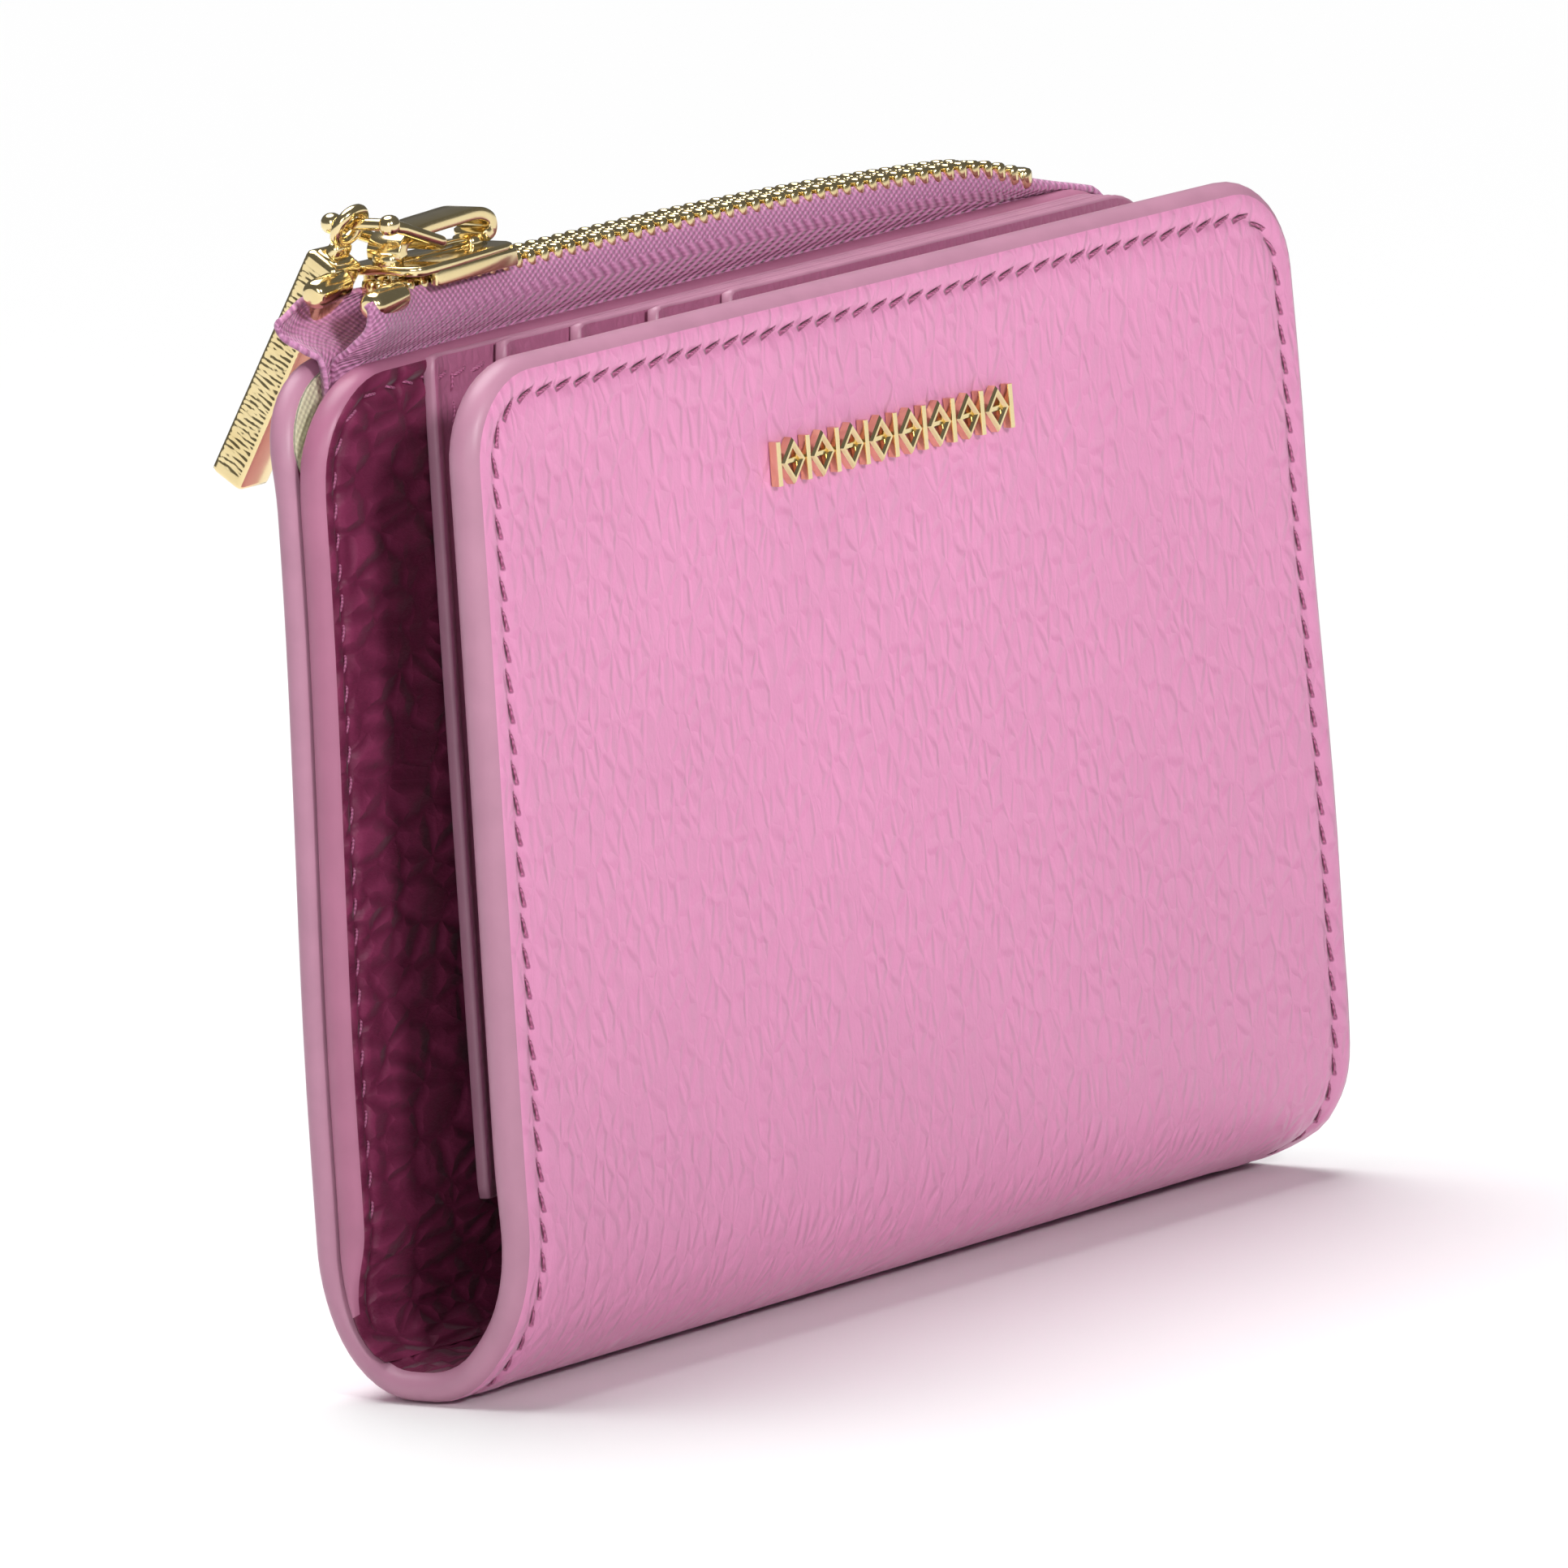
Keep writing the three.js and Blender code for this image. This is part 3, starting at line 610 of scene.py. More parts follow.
def closed_panel(points, faces, edge, place, thick_at, front=level, back=level):
    """Both sides of a panel, joined along its rim, whose edge is rounded as edge_rounding gives it. place
    turns (x, v, w) into metres, and front and back give each side's relief at (x, v, edge distance)."""
    x, v, d, s = points.T
    count = len(points)
    keep = d >= 1e-9
    t = thick_at(v)
    h = np.interp(d, *edge) * t / 2
    outside = place(x, v, -t / 2 + h + front(x, v, d))
    inside = place(x, v, -t / 2 - h - back(x, v, d))
    other = np.where(keep, np.cumsum(keep) - 1 + count, np.arange(count))
    spots = np.concatenate([outside, inside[keep]])
    back_faces = [[int(other[i]) for i in reversed(f)] for f in faces]
    uv = np.concatenate([points[:, :2], points[keep][:, :2] + BACK_SHIFT])
    floats = {
        "edge_distance": np.concatenate([d, d[keep] + BACK_DISTANCE]),
        "seam_length": np.concatenate([s, s[keep]]),
    }
    return spots, faces + back_faces, uv, floats, other


def spots_v(points, other):
    """The lengths v of both sides of a closed panel."""
    return np.concatenate([points[:, 1], points[other >= len(points)][:, 1]])


def sharpen(obj, face_numbers):
    """Marks the outlines of those faces as sharp, so that their neighbours stay smooth."""
    mesh = obj.data
    hard = {frozenset(key) for n in face_numbers for key in mesh.polygons[n].edge_keys}
    for edge in mesh.edges:
        if frozenset(edge.vertices) in hard:
            edge.use_edge_sharp = True


SHELL_EDGE = edge_rounding(2.7)     # the shell's edge is burnished to this thickness
SHELL_INSETS = [1.9, 2.25, 2.55, 2.75, 2.9, 3.05, 3.25, 3.55, 4.0, 4.7, 5.6, 6.7, 8]
shell_points, shell_faces, shell_rim = rounded_panel(
    -HALF, HALF, 0, SHELL_LENGTH, [CORNER_R] * 4, SHELL_EDGE[0] + SHELL_INSETS, SHELL_STEP)
even_stitches(shell_points, shell_rim)


def fold_grain(x, v, d):
    """The coarse grain of the leather that lines the fold."""
    reach = smooth_step(FOLD_V - 26, FOLD_V - 20, v) * (1 - smooth_step(FOLD_V + 26, FOLD_V + 32, v))
    return coarse_pebbles(x, v, 0.4) * smooth_step(1.2, 3.0, d) * reach


def make_shell():
    """The shell in two halves, back and front, capped where they meet under the fold."""
    points, faces = shell_points, shell_faces
    rows = np.unique(np.round(points[:, 1], 5))
    middle = rows[np.argmin(abs(rows - FOLD_V))]
    spots, all_faces, uv, floats, other = closed_panel(
        points, faces, SHELL_EDGE, place_on_shell, shell_thickness, lambda x, v, d: swell(d), fold_grain)
    v_all = spots_v(points, other)
    depth_all = floats["edge_distance"] % BACK_DISTANCE
    cut = sorted(np.nonzero(abs(points[:, 1] - middle) < 1e-4)[0], key=lambda i: points[i, 0])
    halves = []
    for name, is_back in (("shell_back", True), ("shell_front", False)):
        used, index, cut_faces = [], [], []
        for n, f in enumerate(all_faces):
            if (np.mean(v_all[f]) < middle) == is_back:
                used.append(f)
                on_edge = np.mean(depth_all[f]) < SHELL_EDGE[0][-2]
                index.append(1 if on_edge else (0 if n < len(faces) else 2))
        for a, b in zip(cut[:-1], cut[1:]):
            cap = [a, b, int(other[b]), int(other[a])]
            cap = [q for k, q in enumerate(cap) if q != cap[k - 1]]
            if len(set(cap)) > 2:
                cut_faces.append(len(used))
                used.append(cap[::-1] if is_back else cap)
                index.append(2)
        keep = sorted({i for f in used for i in f})
        back_to = {i: k for k, i in enumerate(keep)}
        obj = mesh_piece(
            name, spots[keep], [[back_to[i] for i in f] for f in used],
            [OUTER_LEATHER, EDGE_PAINT, INNER_LEATHER], index, uv[keep],
            {k: a[keep] for k, a in floats.items()})
        sharpen(obj, cut_faces)
        halves.append(obj)
    return halves


def woven_cloth(name, colour, threads):
    """Plain-woven lining cloth with that many threads a millimetre."""
    material, tree, shader = new_material(name)
    split = tree.nodes.new("ShaderNodeSeparateXYZ")
    tree.links.new(coordinates(tree), split.inputs[0])
    turns = threads * 100 * math.pi
    warp, weft = [math_node(tree, "SINE", math_node(tree, "MULTIPLY", split.outputs[k], turns))
                  for k in range(2)]
    height = math_node(tree, "MULTIPLY", warp, weft)
    level_out = math_node(tree, "MULTIPLY_ADD", height, 0.5, 0.5)
    # The colour follows the weave's height: painted shade between the threads.
    tree.links.new(ramp(tree, level_out, scaled(colour, 0.8), scaled(colour, 1.1)),
                   shader.inputs["Base Color"])
    add_bump(tree, shader, height, 0.06)
    shader.inputs["Roughness"].default_value = 0.85
    shader.inputs["Sheen Weight"].default_value = 0.3
    return material


BEIGE = (0.62, 0.58, 0.40)
CLOTH = woven_cloth("pocket_cloth", BEIGE, 3)
shell_back, shell_front = make_shell()


def bend_at_back(piece):
    """Bakes the piece's placement into its mesh; it does not turn with the back bend."""
    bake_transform(piece)


def bend_at_front(piece):
    """Bakes the piece's placement into its mesh; it does not turn with the front bend."""
    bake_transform(piece)


bend_at_back(shell_back)
bend_at_front(shell_front)
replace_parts(shell_back, "pocket_outer_leather", "fold_leather")
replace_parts(shell_front, "front_cover_leather", "front_lining_leather", "front_stiffener", "fold_lining")


# ------------------------------------------------------------------ seams of the shell
# Polyester thread in a deeper pink is pulled tight in slanting stitches all round the shell. Each stitch
# dips at both ends into its needle holes.
THREAD_R = 0.12


def thread_material():
    material, tree, shader = new_material("seam_thread")
    twist = tree.nodes.new("ShaderNodeTexWave")
    twist.bands_direction = "DIAGONAL"
    twist.inputs["Scale"].default_value = 1600
    tree.links.new(coordinates(tree, "Object"), twist.inputs["Vector"])
    # The colour follows the twist: painted shade in the grooves between the plies.
    tone = ramp(tree, twist.outputs["Fac"], (0.27, 0.06, 0.14), (0.52, 0.155, 0.31))
    tree.links.new(tone, shader.inputs["Base Color"])
    add_bump(tree, shader, twist.outputs["Fac"], 0.04)
    shader.inputs["Roughness"].default_value = 0.5
    shader.inputs["Sheen Weight"].default_value = 0.08
    return material


THREAD = thread_material()


def ring_faces(rings, sides, closed=False):
    """Quads between successive rings of points; closed joins the last ring to the first."""
    faces = []
    for i in range(rings if closed else rings - 1):
        low, high = i * sides, (i + 1) % rings * sides
        faces += [(low + j, low + (j + 1) % sides, high + (j + 1) % sides, high + j)
                  for j in range(sides)]
    return faces


def end_caps(rings, sides):
    """The two faces that close a run of rings."""
    return [tuple(range(sides))[::-1], tuple(range((rings - 1) * sides, rings * sides))]


def pole_faces(rings, sides):
    """The fans that close a run of rings on the two points that follow them."""
    faces = []
    base, top = rings * sides, (rings - 1) * sides
    for j in range(sides):
        k = (j + 1) % sides
        faces += [(base, k, j), (base + 1, top + j, top + k)]
    return faces


def tube(points, radii, sides=6):
    """Vertices and faces of a closed tube through the points."""
    points = np.asarray(points, float)
    ahead = np.gradient(points, axis=0)
    ahead /= np.linalg.norm(ahead, axis=1)[:, None]
    first = np.cross(ahead[0], [0.31, 0.27, 0.91])
    verts = []
    normal = first / np.linalg.norm(first)
    for p, t, r in zip(points, ahead, radii):
        normal = normal - t * np.dot(normal, t)
        normal /= np.linalg.norm(normal)
        side = np.cross(t, normal)
        verts += [p + r * (math.cos(a) * normal + math.sin(a) * side)
                  for a in (2 * math.pi * i / sides for i in range(sides))]
    return verts, ring_faces(len(points), sides) + end_caps(len(points), sides)


def gather(parts):
    """Joins lists of (vertices, faces) into one."""
    verts, faces = [], []
    for more, links in parts:
        base = len(verts)
        verts += list(more)
        faces += [tuple(base + i for i in f) for f in links]
    return verts, faces


def stitches(ring, place, wanted, length=1.75):
    """Stitches along a ring of (x, v, d, s) points, where wanted(x, v). place turns (x, v, w) to metres."""
    order = np.argsort(ring[:, 3])
    x, v, _, s = ring[order].T
    reach = s.max()
    parts = []
    t = np.linspace(-length / 2, length / 2, 6)
    for k in range(int(round(reach / SEAM_PITCH))):
        at = np.clip((k + 0.5) * SEAM_PITCH + t, 0, reach)
        px, pv = np.interp(at, s, x), np.interp(at, s, v)
        if not wanted(px.mean(), pv.mean()):
            continue
        tx, tv = px[-1] - px[0], pv[-1] - pv[0]
        size = math.hypot(tx, tv) or 1
        px = px + STITCH_LEAN * t * tv / size
        pv = pv - STITCH_LEAN * t * tx / size
        lift = 0.10 - 0.34 * (2 * t / length) ** 4
        radii = THREAD_R * MM * np.array([0.7, 1, 1.08, 1.08, 1, 0.7])
        parts.append(tube(place(px, pv, lift - 0.12), radii))
    return gather(parts)


def seam_ring(points, inset):
    return points[abs(points[:, 2] - inset) < 1e-6]


def place_stitch(x, v, w):
    return place_on_shell(x, v, w - 0.02)


shell_seam = seam_ring(shell_points, SEAM_INSET)
back_thread = mesh_piece("shell_seam_back", *stitches(
    shell_seam, place_stitch, lambda x, v: v < FOLD_V - 1.2), [THREAD])
front_thread = mesh_piece("shell_seam_front", *stitches(
    shell_seam, place_stitch, lambda x, v: v > FOLD_V + 1.2), [THREAD])
bend_at_back(back_thread)
bend_at_front(front_thread)

# ------------------------------------------------------------------ inner wall of the zip pocket
# A second panel of leather in a coarse grain, with its own painted edge and seam, closes the pocket. It
# thins out and runs down into the fold. At the left end the two walls part a little under the zip.
INNER_TOP = 82.2
WALL_FACE = 5.9
WALL_GLUE = 0.05
WALL_THICK = DEPTH_HALF - OUTER_WALL - WALL_FACE - WALL_GLUE
WALL_SEAM = 2.1
WALL_END_V = FOLD_V - 4
WALL_PART = -1.0        # the inner wall parts the other way
WALL_INSETS = [1.15, 1.5, 1.8, 2.1, 2.4, 2.7, 3.2, 3.8, 4.4, 5, 5.6, 6.2, 6.8, 7.4, 8]
EDGE_PAINT_DEEP = painted_edge("edge_paint_deep", (0.42, 0.15, 0.25))


def wall_thickness(v):
    return WALL_THICK + (0.2 - WALL_THICK) * smooth_step(BACK_BEND_V - 2, WALL_END_V - 4, v)


def place_on_wall(x, v, w):
    """Points on the panel; w is 0 on the side that faces the outer wall."""
    return place_on_shell(x, v, w - shell_thickness(v) - WALL_GLUE, WALL_PART)


def wall_relief(x, v, d):
    edge = 0.16 * np.exp(-((d - 1.1) / 0.6) ** 2) - 0.42 * np.exp(-((d - WALL_SEAM) / 0.4) ** 2)
    grain = coarse_pebbles(x, v, 0.16) * smooth_step(1.8, 3.4, d) * (x < -38)
    return (edge + grain) * (1 - smooth_step(WALL_END_V - 8, WALL_END_V - 3, v))


def make_inner_wall():
    edge = edge_rounding(1.6)
    points, faces, rim = rounded_panel(-HALF, HALF, OUTER_TOP - INNER_TOP, WALL_END_V,
                                       [CORNER_R, 1, 1, CORNER_R], edge[0] + WALL_INSETS, 0.6)
    even_stitches(points, rim)
    spots, all_faces, uv, floats, other = closed_panel(
        points, faces, edge, place_on_wall, wall_thickness, back=wall_relief)
    depth_all = floats["edge_distance"] % BACK_DISTANCE
    v_all = spots_v(points, other)
    index = [1 if np.mean(depth_all[f]) < edge[0][-2] and np.mean(v_all[f]) < WALL_END_V - 6 else 0
             for f in all_faces]
    wall = mesh_piece("inner_wall", spots, all_faces, [INNER_LEATHER, EDGE_PAINT_DEEP], index, uv, floats)
    thread = mesh_piece("inner_wall_seam", *stitches(
        seam_ring(points, WALL_SEAM),
        lambda x, v, w: place_on_wall(x, v, -wall_thickness(v) - w + 0.22),
        lambda x, v: v < BACK_BEND_V - 2), [THREAD])
    return wall, thread


inner_wall, inner_thread = make_inner_wall()
bend_at_back(inner_wall)
bend_at_back(inner_thread)
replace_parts(inner_wall, "pocket_inner_leather")

# ------------------------------------------------------------------ pocket lining
# Beige woven cloth is glued inside both walls of the pocket; it shows where the walls part at the left.
CLOTH_THICK = 0.3
CLOTH_FOOT = 68


def draw_in(x, v):
    """The cloth is cut narrower below the part of the wall that opens."""
    return x * (1 - 0.03 * smooth_step(6, 14, v))


def make_lining(name, top, place):
    edge = edge_rounding(CLOTH_THICK, 2)
    points, faces, _ = rounded_panel(-HALF + 0.8, HALF - 0.8, OUTER_TOP - top + 0.7, CLOTH_FOOT,
                                     [7.2, 2, 2, 7.2], edge[0] + [0.6, 2.5, 5], 2.2)
    spots, all_faces, uv, _, _ = closed_panel(
        points, faces, edge, place, lambda v: np.full(np.shape(v), CLOTH_THICK))
    lining = mesh_piece(name, spots, all_faces, [CLOTH], None, uv)
    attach(lining, "back_leaf")
    return lining


outer_lining = make_lining(
    "outer_lining", OUTER_TOP, lambda x, v, w: place_on_shell(draw_in(x, v), v, w - OUTER_WALL + 0.2))
inner_lining = make_lining(
    "inner_lining", INNER_TOP, lambda x, v, w: place_on_wall(draw_in(x, v), v, w + 0.1))
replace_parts(outer_lining, "pocket_lining_outer")
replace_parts(inner_lining, "pocket_lining_inner")

# ------------------------------------------------------------------ card slots
# Layers of thin leather open to the left. Each mouth is turned over and creased, so it stands as a thick
# smooth roll, and the seam along the top catches the layers together.
SLOT_THICK = 0.55
SLOT_PITCH = 0.8
SLOT_END = 53
SLOT_FOOT = 13.7
BACK_MOUTHS = [-41.3, -33, -24, -15, -6]
FRONT_MOUTHS = [-42, -33, -24]
BACK_SLOT_TOP = 81.9
FRONT_SLOT_TOP = 81.6
FRONT_INSIDE = -DEPTH_HALF + FRONT_THICK
SLOT_INSETS = [0.5, 0.8, 1.2, 1.6, 2.0, 2.4, 2.7, 3.0, 4.5, 6]
SLOT_PINK = (0.42, 0.135, 0.248)
SLOT_LEATHER = leather("slot_leather", SLOT_PINK, 0.8, 1.6, 0.5, 0.05, 0.1, 0.5, 0.4, seam=False)


def make_slot(name, mouth, face, side, top):
    """face is the y of the layer's outer face and side its outward direction."""
    edge = edge_rounding(SLOT_THICK, 3)
    points, faces, _ = rounded_panel(mouth, SLOT_END, SLOT_FOOT, top, [0.6, 0.6, 6, 0.6],
                                     edge[0] + SLOT_INSETS, 2.2)

    def place(x, z, w):
        from_mouth = x - mouth
        roll = 0.55 * np.exp(-((from_mouth - 0.55) / 0.65) ** 4)
        crease = -0.16 * np.exp(-((from_mouth - 2.7) / 0.28) ** 2)
        outer = np.asarray(w) > -SLOT_THICK / 2
        ease = 0.22 * np.sin(z * 0.045 + mouth)
        y = face + side * (w + np.where(outer, roll + crease, 0) + ease * 0.4)
        return np.stack([x, y + (leaf_bow(x, z, False) if side > 0 else 0), z], -1) * MM

    spots, all_faces, uv, floats, _ = closed_panel(
        points, faces, edge, place, lambda z: np.full(np.shape(z), SLOT_THICK))
    depth_all = floats["edge_distance"] % BACK_DISTANCE
    # The slots' cut edges take the pale edge paint; along each mouth's roll it also stands in as a painted
    # highlight.
    index = [1 if np.mean(depth_all[f]) < edge[0][-1] else 0 for f in all_faces]
    slot = mesh_piece(name + "_leather", spots, all_faces, [SLOT_LEATHER, EDGE_PAINT], index, uv)
    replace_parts(slot, name)
    return slot


def short_stitch(points, radius):
    """One small stitch through (x, y, z) arrays of five points in millimetres."""
    return tube(np.stack(points, -1) * MM, radius * MM * np.array([0.7, 1, 1, 1, 0.7]))


STITCH_T = np.linspace(-0.85, 0.85, 5)
STITCH_DIP = (STITCH_T / 0.85) ** 4


def crease_stitches(name, mouth, face):
    """The line of small stitches beside a mouth's roll, on the side that faces the front."""
    x = mouth + 3.1 + 0.12 * STITCH_T
    y = face - (0.06 - 0.2 * STITCH_DIP)
    parts = [short_stitch((x, y, z + STITCH_T), THREAD_R)
             for z in np.arange(SLOT_FOOT + 2, 80, SEAM_PITCH)]
    return mesh_piece(name, *gather(parts), [THREAD])


for number, mouth in enumerate(BACK_MOUTHS):
    slot = make_slot(f"back_card_slot_{number + 1}", mouth, WALL_FACE - SLOT_PITCH * (number + 1), -1,
                     BACK_SLOT_TOP)
    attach(slot, "back_leaf")
for number, mouth in enumerate(FRONT_MOUTHS):
    slot = make_slot(f"front_card_slot_{number + 1}", mouth,
                     FRONT_INSIDE + 0.3 + SLOT_PITCH * (number + 1), 1, FRONT_SLOT_TOP)
    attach(slot, "front_cover")


def top_seam(name, z):
    """The wall's seam runs on across the layers of card slots, stepping from one to the next."""
    parts = []
    for x in np.arange(BACK_MOUTHS[0] + 1.6, SLOT_END - 4, SEAM_PITCH):
        layer = sum(x > mouth for mouth in BACK_MOUTHS)
        y = WALL_FACE - SLOT_PITCH * layer - 0.16 + 0.24 * STITCH_DIP
        parts.append(short_stitch((x + STITCH_T, y, z + 0.24 * STITCH_T), THREAD_R * 1.5))
    return mesh_piece(name, *gather(parts), [THREAD])


slot_seam = top_seam("slot_seam", INNER_TOP - WALL_SEAM)
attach(slot_seam, "back_leaf")
mouth_seam = crease_stitches("mouth_seam", BACK_MOUTHS[0], WALL_FACE - SLOT_PITCH)
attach(mouth_seam, "back_leaf")


# ------------------------------------------------------------------ zip tapes
# Each tape is woven: a close knit by the teeth, then a herringbone. It rises between its wall and the
# lining, bows outwards and carries the teeth. The chain sinks towards its right end, where the tape is
# tucked down behind the walls, and at the left the two ends spread past the slider.
ZIP_Y = 8.45
CHAIN_TOP = 88.0
TAPE_TOP = 87.2
TAPE_THICK = 0.5
KNIT_DEEP = 1.9
RIB_TURN = 2.75
RIB_PITCH = 1.3


def chain_drop(x):
    """How far the chain lies below its left end: a slow sag, then the turn down behind the walls."""
    sag = 0.0007 * np.clip(np.asarray(x, float) + 12, 0, None) ** 2
    return (sag + 2.0 * smooth_step(34, 48, x) + 0.9 * smooth_step(45, 55, x)
            + 1.5 * smooth_step(51.5, 54.5, x))


def end_spread(x):
    return smooth_step(-40.5, -47.5, x)


def curve_through(points, count):
    """A Catmull-Rom curve through the points."""
    p = np.asarray(points, float)
    p = np.concatenate([[2 * p[0] - p[1]], p, [2 * p[-1] - p[-2]]])
    u = np.linspace(0, len(p) - 3 - 1e-9, count)
    k = u.astype(int)
    t = (u - k)[:, None]
    a, b, c, d = p[k], p[k + 1], p[k + 2], p[k + 3]
    return 0.5 * (2 * b + (c - a) * t + (2 * a - 5 * b + 4 * c - d) * t ** 2
                  + (3 * b - a - 3 * c + d) * t ** 3)


def slab(front, back):
    """A closed sheet between two grids of points."""
    rows, columns = front.shape[:2]
    base = rows * columns
    verts = np.concatenate([front.reshape(-1, 3), back.reshape(-1, 3)])
    faces = []
    for i in range(rows - 1):
        for j in range(columns - 1):
            a = i * columns + j
            quad = (a, a + 1, a + columns + 1, a + columns)
            faces.append(quad)
            faces.append(tuple(base + q for q in reversed(quad)))
    rim = [j for j in range(columns)]
    rim += [i * columns + columns - 1 for i in range(1, rows)]
    rim += [(rows - 1) * columns + j for j in range(columns - 2, -1, -1)]
    rim += [i * columns for i in range(rows - 2, 0, -1)]
    for a, b in zip(rim, rim[1:] + rim[:1]):
        faces.append((a, a + base, b + base, b))
    return verts, faces


def tape_section(side, x, wall_top):
    """Middle line of a tape at x, from its foot inside the pocket up to the teeth."""
    base = ZIP_Y + side * (0.35 + (0.9 if side > 0 else 0.55) * wall_sway(x, 82))
    spread = end_spread(x) * (1.9 if side > 0 else 1.3)
    end = 0.6 * smooth_step(38, 46, x) if side > 0 else 0
    top = TAPE_TOP - chain_drop(x + end) - (1.4 if side > 0 else 0.3) * smooth_step(-46.5, -51, x)
    high = max(top - wall_top, 0.35)
    out = side * min(1, 0.35 + high / 7)
    return curve_through([
        (base, wall_top - 5),
        (base, wall_top - 0.4),
        (base + out * 1.0 + side * spread * 0.3, wall_top + 0.24 * high),
        (base + out * 1.75 + side * spread * 0.8, wall_top + 0.55 * high),
        (base + out * 1.6 + side * spread, wall_top + 0.84 * high),
        (base + out * 1.1 + side * spread, wall_top + high),
    ], 34) + (0, min(top - wall_top - 0.35, 0))


def tape_material():
    """Woven polyester tape: knit and herringbone ribs from the distance below the teeth."""
    material, tree, shader = new_material("zip_tape")
    links = tree.links

    def times(a, b):
        return math_node(tree, "MULTIPLY", a, b)

    def plus_times(a, b, c):
        return math_node(tree, "MULTIPLY_ADD", a, b, c)

    def sine(a):
        return math_node(tree, "SINE", a)

    where = coordinates(tree)
    split = tree.nodes.new("ShaderNodeSeparateXYZ")
    links.new(where, split.inputs[0])
    x, down = times(split.outputs[0], 100.0), times(split.outputs[1], 100.0)
    from_turn = math_node(tree, "ABSOLUTE", math_node(tree, "SUBTRACT", down, RIB_TURN))
    rib = plus_times(sine(times(plus_times(from_turn, 1.15, x), 2 * math.pi / RIB_PITCH)), 0.5, 0.5)
    strand = times(sine(times(down, 17.0)), 0.08)
    rib = math_node(tree, "ADD", math_node(tree, "POWER", rib, 0.7), strand)
    loops = times(sine(plus_times(down, 3.6, times(x, 8.8))), sine(plus_times(down, 10.5, times(x, -1.2))))
    knit = plus_times(loops, 0.5, 0.5)
    zone = smooth_range(tree, down, KNIT_DEEP - 0.25, KNIT_DEEP + 0.25)
    calm = smooth_range(tree, x, -44, -8, 0.25)
    height = tree.nodes.new("ShaderNodeMix")
    for label, source in (("Factor", times(zone, calm)), ("A", knit), ("B", rib)):
        links.new(source, height.inputs[label])
    fuzz = noise(tree, where, 900)
    spread = tree.nodes.new("ShaderNodeMix")
    spread.data_type = "RGBA"
    spread.blend_type = "SOFT_LIGHT"
    spread.inputs["Factor"].default_value = 0.5
    # The colour follows the weave's height: painted shade in the hollows between the ribs and loops.
    links.new(ramp(tree, height.outputs["Result"], (0.36, 0.115, 0.25), (0.70, 0.30, 0.53)),
              spread.inputs["A"])
    links.new(fuzz.outputs["Fac"], spread.inputs["B"])
    links.new(spread.outputs["Result"], shader.inputs["Base Color"])
    add_bump(tree, shader, height.outputs["Result"], 0.18)
    shader.inputs["Roughness"].default_value = 0.62
    shader.inputs["Sheen Weight"].default_value = 0.25
    return material


TAPE = tape_material()


def make_tape(name, side, wall_top, x0):
    xs = np.concatenate([np.linspace(x0, -40, 20), np.linspace(-39, 34, 74), np.linspace(34.6, 54, 34)])
    front, back, uv = [], [], []
    for x in xs:
        line = tape_section(side, x, wall_top)
        ahead = np.gradient(line, axis=0)
        ahead /= np.linalg.norm(ahead, axis=1)[:, None]
        normal = np.stack([-ahead[:, 1], ahead[:, 0]], -1) * side
        curl = 1.6 * smooth_step(x0 + 1.6, x0, x)
        shift = -side * curl * smooth_step(0, 1, np.linspace(1, 0, len(line)))
        hops = np.concatenate([[0], np.cumsum(np.linalg.norm(np.diff(line, axis=0), axis=1))])
        for grid, way in ((front, -1), (back, 1)):
            p = line + way * normal * TAPE_THICK / 2
            grid.append(np.stack([np.full(len(p), x), p[:, 0] + shift, p[:, 1]], -1) * MM)
        uv.append(np.stack([np.full(len(line), x), hops[-1] - hops], -1))
    uv = np.array(uv).reshape(-1, 2)
    verts, faces = slab(np.array(front), np.array(back))
    tape = mesh_piece(name, verts, faces, [TAPE], None, np.concatenate([uv, uv]))
    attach(tape, "back_leaf")
    return tape


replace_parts(make_tape("tape_inner", -1, INNER_TOP, -48.4), "zip_tape_inner")
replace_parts(make_tape("tape_outer", 1, OUTER_TOP, -50.6), "zip_tape_outer")

# ------------------------------------------------------------------ zip teeth and stops
# Small gold-plated brass teeth are crimped on the beads of the two tapes and interlock in the middle.
TOOTH_PITCH = 1.76
TOOTH_HALF_HIGH = 0.8
CHAIN_START = -42.5
CHAIN_END = 42


def gold_material():
    """Polished gold plate with faint handling marks."""
    material, tree, shader = new_material("gold_plate")
    marks = noise(tree, coordinates(tree, "Object"), 300, 4).outputs["Fac"]
    tree.links.new(ramp(tree, marks, (0.78, 0.60, 0.28), (0.94, 0.80, 0.48)), shader.inputs["Base Color"])
    tree.links.new(math_node(tree, "MULTIPLY_ADD", marks, 0.12, 0.10), shader.inputs["Roughness"])
    add_bump(tree, shader, marks, 0.012)
    shader.inputs["Metallic"].default_value = 1
    return material


GOLD = gold_material()


def nub(centre, radii, box=0.55, rows=7, sides=12):
    """A rounded block: an ellipsoid pushed towards a box."""
    def push(value):
        return math.copysign(abs(value) ** box, value)

    verts = []
    for a in (math.pi * i / rows - math.pi / 2 for i in range(1, rows)):
        verts += [(push(math.cos(a)) * push(math.cos(b)), push(math.cos(a)) * push(math.sin(b)),
                   push(math.sin(a))) for b in (2 * math.pi * j / sides for j in range(sides))]
    verts += [(0, 0, -1), (0, 0, 1)]
    faces = ring_faces(rows - 1, sides) + pole_faces(rows - 1, sides)
    return (np.array(verts) * radii + centre) * MM, faces


def place_gold(name, parts, body, node, smooth=True):
    piece = mesh_piece(name, *gather(parts), [GOLD], smooth=smooth)
    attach(piece, body)
    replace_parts(piece, node)
    return piece


